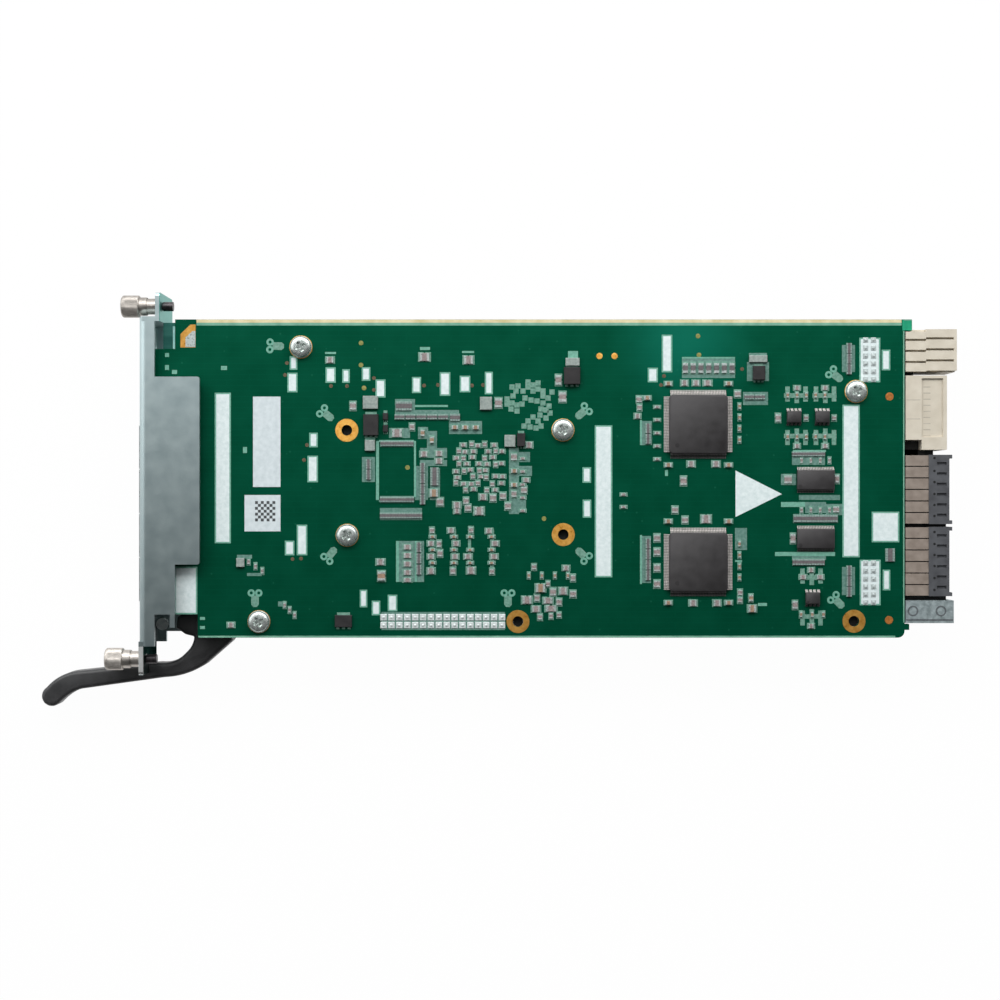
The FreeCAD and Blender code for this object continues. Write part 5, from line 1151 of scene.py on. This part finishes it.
    def teeth(self, box: np.ndarray, wide: bool) -> np.ndarray:
        """Even end caps along the two long sides of one network.

        Args:
            box: the network's box.
            wide: whether it lies along X.

        Returns:
            Boxes of the end caps.
        """
        span, rim = (box[:2], box[2:4]) if wide else (box[2:4], box[:2])
        count = max(2, int(round((span[1] - span[0]) / self.tooth_pitch)))
        step = (span[1] - span[0]) / count
        start = span[0] + step * (np.arange(count) + self.tooth_start)
        depth = self.tooth_depth * (rim[1] - rim[0])
        caps = []
        for near, far in ((rim[0], rim[0] + depth), (rim[1] - depth, rim[1])):
            run = np.stack([start, start + self.tooth_share * step], axis=1)
            edge = np.tile([near, far], (count, 1))
            flat = [run, edge] if wide else [edge, run]
            caps.append(np.concatenate(flat + [np.tile(box[4:], (count, 1))], axis=1))
        return np.concatenate(caps)

    def moulded(self, name: str, boxes: np.ndarray, replaced: tuple[str, ...]) -> None:
        """Small power chips: a dark moulding in a box with tinned feet on its upper and lower side.

        Args:
            name: first words of the piece names.
            boxes: boxes of the chips.
            replaced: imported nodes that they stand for.
        """
        make_piece(name + "_bodies", [slabs(boxes, 0.14)], DARK_CHIP, replaced=replaced)
        feet = self.laid(np.concatenate([self.feet(box) for box in boxes]), 0.16)
        make_piece(name + "_feet", [slabs(feet, 0.05)], PAD)

    @staticmethod
    def feet(box: np.ndarray) -> np.ndarray:
        """Three feet below and one wide tab above a power chip, each set by shares of the width.

        Args:
            box: the chip's box.

        Returns:
            X low, X high, Y low and Y high of the feet.
        """
        width = box[1] - box[0]
        start = box[0] + width * np.array([0.08, 0.41, 0.74])
        edge = np.tile(box[2] + np.array([-0.7, 0.1]), (3, 1))
        below = np.concatenate([start[:, None] + np.array([0.0, 0.18]) * width, edge], axis=1)
        tab = [box[0] + 0.12 * width, box[1] - 0.12 * width, box[3] - 0.1, box[3] + 0.8]
        return np.concatenate([below, [tab]])


@dataclass
class HeaderTails:
    """Solder joints of the pin headers that stand on the component side."""

    pitch: float = 2.54
    radius: float = 1.06
    solder_height: float = 0.2
    pin_radii: np.ndarray = table(0.42, 0.42, 0.3, 0.03)
    pin_levels: np.ndarray = table(0.0, 0.36, 0.44, 0.45)
    short_share: float = 0.8
    long_middle: Pair = (-18.1, -39.2)
    short_middles: tuple[Pair, ...] = ((119.3, 45.0), (119.3, -26.8))

    def build(self) -> None:
        """Joints: a low bevelled square of solder with the rounded end of its pin."""
        short = np.concatenate([self.grid(middle, 2, 6) for middle in self.short_middles])
        self.joints("long_header_joints", self.grid(self.long_middle, 16, 2), self.radius, JOINT)
        self.joints("short_header_joints", short, self.short_share * self.radius, DULL_JOINT)
        for node in ("long_header", "upper_header", "lower_header"):
            dress(node, BLACK)

    def joints(self, name: str, places: np.ndarray, half: float, finish: Finish) -> None:
        """Set a solder square and a pin end at every place.

        Args:
            name: piece name.
            places: X and Y of the pins in mm.
            half: half side of a square in mm.
            finish: finish of the solder.
        """
        spots = places + SHIFT
        square = standing(spots, half, SEAT, BOARD_FACE + self.solder_height)
        ends = turned(spots, self.pin_radii, BOARD_FACE + self.pin_levels, 12)
        make_piece(name, [slabs(square, 0.16), ends], finish)

    def grid(self, middle: Pair, columns: int, lines: int) -> np.ndarray:
        """Give the pin places of one header.

        Args:
            middle: middle of the header in mm.
            columns: pins along X.
            lines: pins along Y.

        Returns:
            X and Y of each pin in mm.
        """
        down, across = np.divmod(np.arange(lines * columns), columns)
        spots = np.stack([across - (columns - 1) / 2, down - (lines - 1) / 2], axis=1)
        return spots * self.pitch + np.array(middle)


@dataclass
class FrontPanel:
    """Folded sheet panel with its brackets, foot and rivet."""

    inner: tuple[str, ...] = ("panel_bracket", "panel_foot", "lever_bracket")
    glint: np.ndarray = span_table((172.2, 174.8, 326, 349))
    glint_levels: Pair = (16.0, 17.2)
    # A thin dark sheet on the lower ear's inner wall: painted shade.
    ear_shade_sheet: np.ndarray = table(
        (-112.81, -112.72, -49.2, -46.45, 0.1, 22.1), (-112.81, -112.72, -52.5, -49.22, 0.1, 15.5))

    def build(self) -> None:
        """Dress the folded sheets and the rivet."""
        dress("front_panel", ZINC)
        # The inner brackets get the dark teal of painted shade and reflection.
        for node in self.inner:
            dress(node, ZINC_INNER_SHADE)
        # A thin pale strip: painted highlight on the bracket's edge.
        glint = seen_boxes(self.glint, *self.glint_levels)
        make_piece("bracket_edge_glint", [slabs(glint, 0.1)], EDGE_GLINT)
        # Painted shade on the lower ear's inner wall.
        make_piece("lower_ear_shade_sheet", [slabs(self.ear_shade_sheet, 0.01)], EAR_SHADE)
        # The rivet gets a painted highlight.
        dress("flange_rivet", RIVET_HIGHLIGHT)
        dress("lever_pivot", STEEL)


@dataclass
class CaptiveScrew:
    """Spring-loaded panel screw with a knurled knob."""

    side: str
    ridges: int = 56
    ridge_depth: float = 0.07
    knob_share: float = 5.8 / 8.2
    bore_radius: float = 2.7
    bore_depth: float = 5.4
    knob_radius: float = 3.55
    skirt_radius: float = 2.95
    travel: float = 3.0
    turns: float = 6.0
    wire: float = 0.22

    def build(self) -> None:
        """Knob, spring and the finish of the screw."""
        self.knob()
        self.spring()
        dress(self.side + "_captive_screw", THREAD)

    def knob(self) -> None:
        """Knob: a profile turned about X, its rim raised in ridges by a cosine of the angle."""
        low, high = box_of(self.side + "_knob")
        middle = (low + high) / 2
        face, end = low[0], high[0]
        back = face + self.knob_share * (end - face)
        big, small = self.knob_radius, self.skirt_radius
        floor = end - self.bore_depth
        profile = np.array([
            (face + 0.1, 0.03, 0), (face + 0.1, 1.9, 0), (face, 2.1, 0), (face, big - 0.55, 0),
            (face + 0.25, big - 0.2, 0), (face + 0.6, big, 1), (face + 1.6, big, 1),
            (back - 1.2, big, 1), (back - 0.35, big, 1), (back - 0.1, big - 0.2, 0), (back, big - 0.45, 0),
            (back, small, 0), (end - 0.3, small, 0), (end, small - 0.12, 0), (end, self.bore_radius, 0),
            (floor, self.bore_radius, 0), (floor, 0.03, 0)])
        angle = np.linspace(0, 2 * math.pi, self.ridges * 4, endpoint=False)
        ridge = self.ridge_depth * (0.5 - 0.5 * np.cos(self.ridges * angle))
        radius = profile[:, 1, None] - profile[:, 2, None] * ridge
        x = np.broadcast_to(profile[:, 0, None], radius.shape)
        y, z = middle[1] + radius * np.cos(angle), middle[2] + radius * np.sin(angle)
        rings = np.stack([x, y, z], axis=-1)
        make_piece(self.side + "_knob_turned", [loft(rings[None])], NICKEL, self.side + "_screw",
                   (self.side + "_knob",), 28.0)

    def spring(self) -> None:
        """Spring: a small circle carried along a helix, squeezed as the screw goes in."""
        node = self.side + "_spring"
        low, high = box_of(node)
        middle = (low + high) / 2
        radius = (high[1] - low[1]) / 2 - self.wire
        step = np.linspace(0, 1, int(self.turns * 20))[:, None]
        round_wire = np.linspace(0, 2 * math.pi, 8, endpoint=False)[None, :]
        turn = 2 * math.pi * self.turns * step
        span = high[0] - low[0] - 2 * self.wire
        reach = radius + self.wire * np.cos(round_wire)
        x = low[0] + self.wire + span * step + self.wire * np.sin(round_wire)
        rings = np.stack([x, middle[1] + reach * np.cos(turn), middle[2] + reach * np.sin(turn)], axis=-1)
        piece = make_piece(self.side + "_spring_coil", [loft(rings[None])], STEEL, self.side + "_carriage",
                           (node,))
        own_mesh(piece)


@dataclass
class EjectorLever:
    """Moulded ejector lever: its outline, rounded rims and the collar on its pivot."""

    pivot: Pair = (-94.0, -40.7)
    hub: float = 5.2
    hub_span: Pair = (10, 125)
    points: int = 260
    nose: tuple[Pair, ...] = ((-8.0, 4.3), (-11.0, 2.4), (-11.3, -1.2), (-8.4, -3.3))
    upper: tuple[Pair, ...] = ((-5.5, -4.0), (-6.3, -6.9), (-8.1, -9.2), (-11.4, -11.7), (-17.0, -12.6))
    upper_tip: tuple[Pair, ...] = ((-43.6, -15.3), (-49.2, -17.0), (-53.7, -20.6))
    tip_far: Pair = (-55.3, -23.5)
    lower_tip: tuple[Pair, ...] = ((-49.3, -25.45), (-45.9, -22.7), (-42.4, -21.1))
    lower: tuple[Pair, ...] = ((-15.0, -17.3), (-8.4, -16.2), (-1.7, -13.0))
    claw: Pair = (7.2, -5.2)
    underside: float = 3.2
    top: float = 11.2
    rim: float = 1.3
    lower_rim: float = 0.6
    collar: tuple[float, ...] = (4.3, 4.3, 4.0, 2.4, 2.1, 2.1)

    @staticmethod
    def arc(first: Pair, middle: Pair, last: Pair, steps: int = 12) -> np.ndarray:
        """Points on the circle through three places, from the first to before the last.

        The middle of the circle is where the two chords' mid-normals cross.

        Args:
            first: start of the arc.
            middle: a place on the arc.
            last: end of the arc.
            steps: points to give.

        Returns:
            X and Y of the points.
        """
        a, b, c = (np.array(place, dtype=float) for place in (first, middle, last))
        chords = 2 * np.array([b - a, c - a])
        centre = np.linalg.solve(chords, np.array([b @ b - a @ a, c @ c - a @ a]))
        start, mid, end = (math.atan2(*(place - centre)[::-1]) for place in (a, b, c))
        onward = (mid - start) % (2 * math.pi) < (end - start) % (2 * math.pi)
        sweep = (end - start) % (2 * math.pi) if onward else -((start - end) % (2 * math.pi))
        angle = start + sweep * np.linspace(0, 1, steps, endpoint=False)
        return centre + np.linalg.norm(a - centre) * np.stack([np.cos(angle), np.sin(angle)], axis=1)

    def outline(self) -> np.ndarray:
        """Outline of the lever, anticlockwise, evenly spaced along its length.

        Returns:
            X and Y of the points in mm.
        """
        turn = np.radians(np.linspace(*self.hub_span, 14))
        hub = self.hub * np.stack([np.cos(turn), np.sin(turn)], axis=1)
        runs = [hub, np.array(self.nose), self.arc(*self.upper[:3]), self.arc(*self.upper[2:]),
                np.array(self.upper[-1:]), self.arc(*self.upper_tip),
                self.arc(self.upper_tip[-1], self.tip_far, self.lower_tip[0]), self.arc(*self.lower_tip),
                np.array(self.lower_tip[-1:]), self.arc(*self.lower), np.array(self.lower[-1:]),
                np.array([self.claw])]
        rough = np.concatenate(runs)
        loop = np.concatenate([rough, rough[:1]])
        run = np.concatenate([[0], np.cumsum(np.linalg.norm(np.diff(loop, axis=0), axis=1))])
        even = np.linspace(0, run[-1], self.points, endpoint=False)
        smooth = np.stack([np.interp(even, run, axis) for axis in loop.T], axis=1)
        return smooth + np.array(self.pivot) + SHIFT

    def build(self) -> None:
        """Slab with rims rounded by a quarter circle, and the collar above it."""
        edge = self.outline()
        tangent = np.roll(edge, -2, axis=0) - np.roll(edge, 2, axis=0)
        tangent /= np.linalg.norm(tangent, axis=1)[:, None]
        inward = np.stack([-tangent[:, 1], tangent[:, 0]], axis=1)
        swing = np.radians(np.linspace(0, 90, 7))
        lower_rim = self.lower_rim * self.rim
        inset = np.concatenate([lower_rim * (1 - np.sin(swing[::3])), self.rim * (1 - np.cos(swing))])
        height = np.concatenate([self.underside + lower_rim * (1 - np.cos(swing[::3])),
                                 self.top - self.rim + self.rim * np.sin(swing)])
        slab = raised((edge + inward * inset[:, None, None])[None], height)
        foot, crown = self.top - 0.5, box_of("ejector_lever")[1, 2]
        collar = turned(np.array([self.pivot]) + SHIFT, self.collar,
                        [foot, crown - 0.3, crown, crown, crown - 0.2, foot], 40, True)
        make_piece("ejector_lever_moulding", [slab, collar], LEVER_BLACK, "lever",
                   ("ejector_lever",), 40.0)


@dataclass
class RearConnectors:
    """Row of backplane connectors and the guide block."""

    shade_block_drop: float = 3.2
    gap_levels: Pair = (3.0, 14.5)
    boss_radii: Pair = (1.75, 1.2)
    hole_radius: float = 0.42
    recess: float = 0.6
    holes: np.ndarray = table(*(
        (934.5, y) for y in (458, 471, 482, 494, 505, 516, 532, 544, 555, 566, 578, 590)))
    gaps: np.ndarray = span_table(
        (904, 916, 371, 379), (904, 921, 441, 456), (904, 936, 449, 456), (904, 949, 521, 528),
        (904, 949, 594, 601))
    shades: np.ndarray = span_table(
        (906, 920, 399.6, 400.4), (906, 920, 418.6, 419.4), (906, 953, 619, 621))
    notches: np.ndarray = table(*((927, y, 7, 1.0) for y in np.arange(387, 438, 6.1)))
    bosses: np.ndarray = table((913, 611), (941, 611))

    def build(self) -> None:
        """Dress the housings, set dark blocks of painted shade inside the wafers and in the gaps, and mark
        slots, ribs and holes on the upper sides in painted shade.
        """
        dress("power_connector", BEIGE)
        dress("signal_connector", BEIGE)
        # Dark blocks inside the wafers and in the gaps between the housings: painted shade.
        shade_blocks = []
        for number in ("1", "2"):
            dress("fast_housing_" + number, GREY)
            dress("fast_wafers_" + number, TAN)
            low, high = box_of("fast_wafers_" + number)
            shade_blocks.append([low[0] + 0.2, high[0] - 0.1, low[1] + 0.2, high[1] - 0.2, low[2] + 0.3,
                             high[2] - self.shade_block_drop])
        dress("guide_block", CAST)
        gaps = seen_boxes(self.gaps, *self.gap_levels)
        make_piece("wafer_shade_blocks", [slabs(np.array(shade_blocks), 0.1), slabs(gaps, 0.1)], BLACK)
        # Dark discs in the housing's holes: painted shade.
        top = box_of("fast_housing_1")[1, 2]
        bores = turned(seen(self.holes, top), [self.hole_radius, self.hole_radius, 0.04],
                       [top - 0.2, top + 0.01, top + 0.012], 12)
        make_piece("housing_holes", [bores], HOLE)
        # Darker beige lines and notches: painted shade in the grooves.
        beige = box_of("signal_connector")[1, 2]
        sunk = beige - self.recess
        lines = np.concatenate([seen_boxes(self.shades[:2], beige - 0.1, beige + 0.01),
                                seen_boxes(self.notches, sunk - 0.1, sunk + 0.01)])
        make_piece("signal_marks", [slabs(lines, 0.004)], BEIGE_SHADE)
        # Darker rings round the guide block's bosses and a seam line along it: painted shade.
        cast = box_of("guide_block")[1, 2]
        ring = washer(seen(self.bosses, cast), *self.boss_radii, cast - 0.1, cast + 0.04, 28)
        seam = slabs(seen_boxes(self.shades[2:], cast - 0.1, cast + 0.01), 0.004)
        make_piece("guide_marks", [ring, seam], CAST_SHADE)


@dataclass
class HiddenSide:
    """Everything on the component side, under the board."""

    finishes: tuple[tuple[str, Finish], ...] = (
        ("jack_shell", CAGE), ("jack_insert", BLACK), ("status_lights", CLEAR), ("switch_chip", CHIP),
        ("thermal_pad", RUBBER), ("heat_sink", SINK), ("processor_chip", CHIP), ("processor_sink", SINK),
        ("memory_chips", CHIP), ("store_chip", CHIP), ("network_chip", CHIP), ("converter_module", MODULE),
        ("power_coils", FERRITE), ("bulk_capacitors", TANTALUM), ("crystal_cans", CAN), ("ferrules", NICKEL))

    def build(self) -> None:
        """Dress cages, sockets, chips, sinks and power parts."""
        for number in range(1, 5):
            dress(f"uplink_cage_{number}", CAGE)
            dress(f"uplink_socket_{number}", BLACK)
        for node, finish in self.finishes:
            dress(node, finish)


@dataclass
class Studio:
    """White floor, soft light from above the far edge, and the camera straight overhead."""

    camera_place: Rgb = (0.001322, 0.000429, 0.592)
    lens: float = 64.15
    sensor: float = 36.0
    lamps: tuple[tuple[str, Rgb, Pair, float], ...] = (
        ("key_light", (0.0, 0.44, 0.38), (1.4, 0.25), 5.2),
        ("side_light", (-0.75, 0.1, 0.45), (0.3, 0.8), 0.7))
    lamp_aim: Rgb = (0.0, 0.0, 0.018)
    sky: float = 0.72
    sky_dark: Pair = (-0.6, 0.08)
    sky_bright: Pair = (0.8, 1.5)
    sky_tone: tuple[float, ...] = (0.97, 0.99, 1.0, 1.0)
    bright_side: Rgb = (-0.3, 1.9, -0.45)
    floor_half: float = 4.0
    floor_tone: tuple[float, ...] = (0.86, 0.86, 0.86, 1.0)
    floor_glow: float = 0.98

    def build(self) -> None:
        """Set up the floor, lights, world and camera."""
        self.floor()
        for name, place, size, power in self.lamps:
            self.lamp(name, place, size, power)
        self.world()
        camera = bpy.data.cameras.new("overhead_camera")
        camera.lens = self.lens
        camera.sensor_width = self.sensor
        camera.clip_start = 0.01
        scene = bpy.context.scene
        scene.camera = self.hang(camera.name, camera, self.camera_place)
        scene.view_settings.view_transform = "Standard"

    @staticmethod
    def hang(name: str, data: bpy.types.ID, place: Rgb = (0.0, 0.0, 0.0)) -> bpy.types.Object:
        """Put an object into the scene.

        Args:
            name: its name.
            data: its mesh, lamp or camera.
            place: where it stands, in metres.

        Returns:
            The object.
        """
        made = bpy.data.objects.new(name, data)
        made.location = place
        bpy.context.scene.collection.objects.link(made)
        return made

    def floor(self) -> None:
        """Flat white floor that keeps a faint shadow and shows white to the camera."""
        corners = np.array([[-1, -1, 0], [1, -1, 0], [1, 1, 0], [-1, 1, 0]]) * self.floor_half
        mesh = bpy.data.meshes.new("studio_floor")
        mesh.from_pydata(corners, [], [[0, 1, 2, 3]])
        made = bpy.data.materials.new("studio_floor_white")
        made.use_nodes = True
        tree = made.node_tree
        tree.nodes.remove(tree.nodes["Principled BSDF"])
        rays = tree.nodes.new("ShaderNodeLightPath").outputs
        direct = compute(tree, "MAXIMUM", rays["Is Camera Ray"], rays["Is Glossy Ray"])
        direct = compute(tree, "MAXIMUM", direct, rays["Is Transmission Ray"])
        share = compute(tree, "MULTIPLY", direct, self.floor_glow)
        plain = wire(tree, "BsdfDiffuse", {"Color": self.floor_tone})
        mixed = wire(tree, "MixShader", {"Fac": share, 1: plain, 2: wire(tree, "Emission", {})})
        feed(tree, tree.nodes["Material Output"], {"Surface": mixed})
        mesh.materials.append(made)
        self.hang("studio_floor", mesh)

    def lamp(self, name: str, place: Rgb, size: Pair, power: float) -> None:
        """Hang a soft rectangular lamp aimed at the middle of the card.

        Args:
            name: lamp name.
            place: where it hangs, in metres.
            size: its two sides in metres.
            power: its power in watts.
        """
        data = bpy.data.lights.new(name, "AREA")
        data.shape = "RECTANGLE"
        data.size, data.size_y = size
        data.energy = power
        aim = np.array(self.lamp_aim) - np.array(place)
        tilt = math.atan2(math.hypot(aim[0], aim[1]), -aim[2])
        self.hang(name, data, place).rotation_euler = (tilt, 0.0, math.atan2(aim[1], aim[0]) - math.pi / 2)

    def world(self) -> None:
        """Soft sky, bright low over the far edge and the front panel, dark straight overhead."""
        world = bpy.data.worlds.new("studio_sky")
        bpy.context.scene.world = world
        world.use_nodes = True
        tree = world.node_tree
        way = wire(tree, "TexCoord", {}, "Generated")
        side = wire(tree, "VectorMath", {0: way, 1: self.bright_side}, "Value", operation="DOT_PRODUCT")
        dark, bright = ((edge, self.sky * share) for edge, share in (self.sky_dark, self.sky_bright))
        strength = spread(tree, side, dark, bright)
        feed(tree, tree.nodes["Background"], {"Strength": strength, "Color": self.sky_tone})


def leaded_chips() -> list[LeadedChip]:
    """List the chips with gull-wing leads.

    Returns:
        Two quad packs, two long two-row packs and the three small two-row packs.
    """
    two = (Row.UPPER, Row.LOWER)
    quad = dict(size=(19.0, 19.0), height=1.5, lead_reach=1.5, pitch=0.5, lead_width=0.36, lead_count=36,
                rows=two + (Row.LEFT, Row.RIGHT), corner=0.9)
    bus = dict(size=(12.2, 6.4), height=1.1, lead_reach=0.95, pitch=0.5, lead_width=0.3, lead_count=24,
               rows=two, corner=0.2)
    small = dict(size=(4.7, 3.8), height=1.4, lead_reach=0.8, pitch=1.27, lead_width=0.85, lead_count=4,
                 rows=two, corner=0.2)
    return [LeadedChip("quad_pack_upper", "quad_chip_upper", np.array([(64.1, 24.2)]), **quad),
            LeadedChip("quad_pack_lower", "quad_chip_lower", np.array([(64.1, -20.1)]), **quad),
            LeadedChip("bus_pack_upper", "bus_chip_upper", np.array([(101.9, 6.3)]), **bus),
            LeadedChip("bus_pack_lower", "bus_chip_lower", np.array([(101.9, -12.6)]), **bus),
            LeadedChip("small_pack", "small_chips", np.array([(94.9, 26.6), (104.0, 26.6), (100.9, -31.7)]),
                       **small)]


def main() -> None:
    """Build and dress every sub-assembly in order, then set up the studio."""
    logging.basicConfig(level=logging.INFO, format="%(name)s: %(message)s")
    face = BoardFace()
    face.build()
    BoardScrews(face.screws).build()
    for chip in leaded_chips():
        chip.build()
    ChipParts().build()
    HeaderTails().build()
    FrontPanel().build()
    CaptiveScrew("upper").build()
    CaptiveScrew("lower").build()
    EjectorLever().build()
    RearConnectors().build()
    HiddenSide().build()
    Studio().build()


if __name__ == "__main__":
    main()
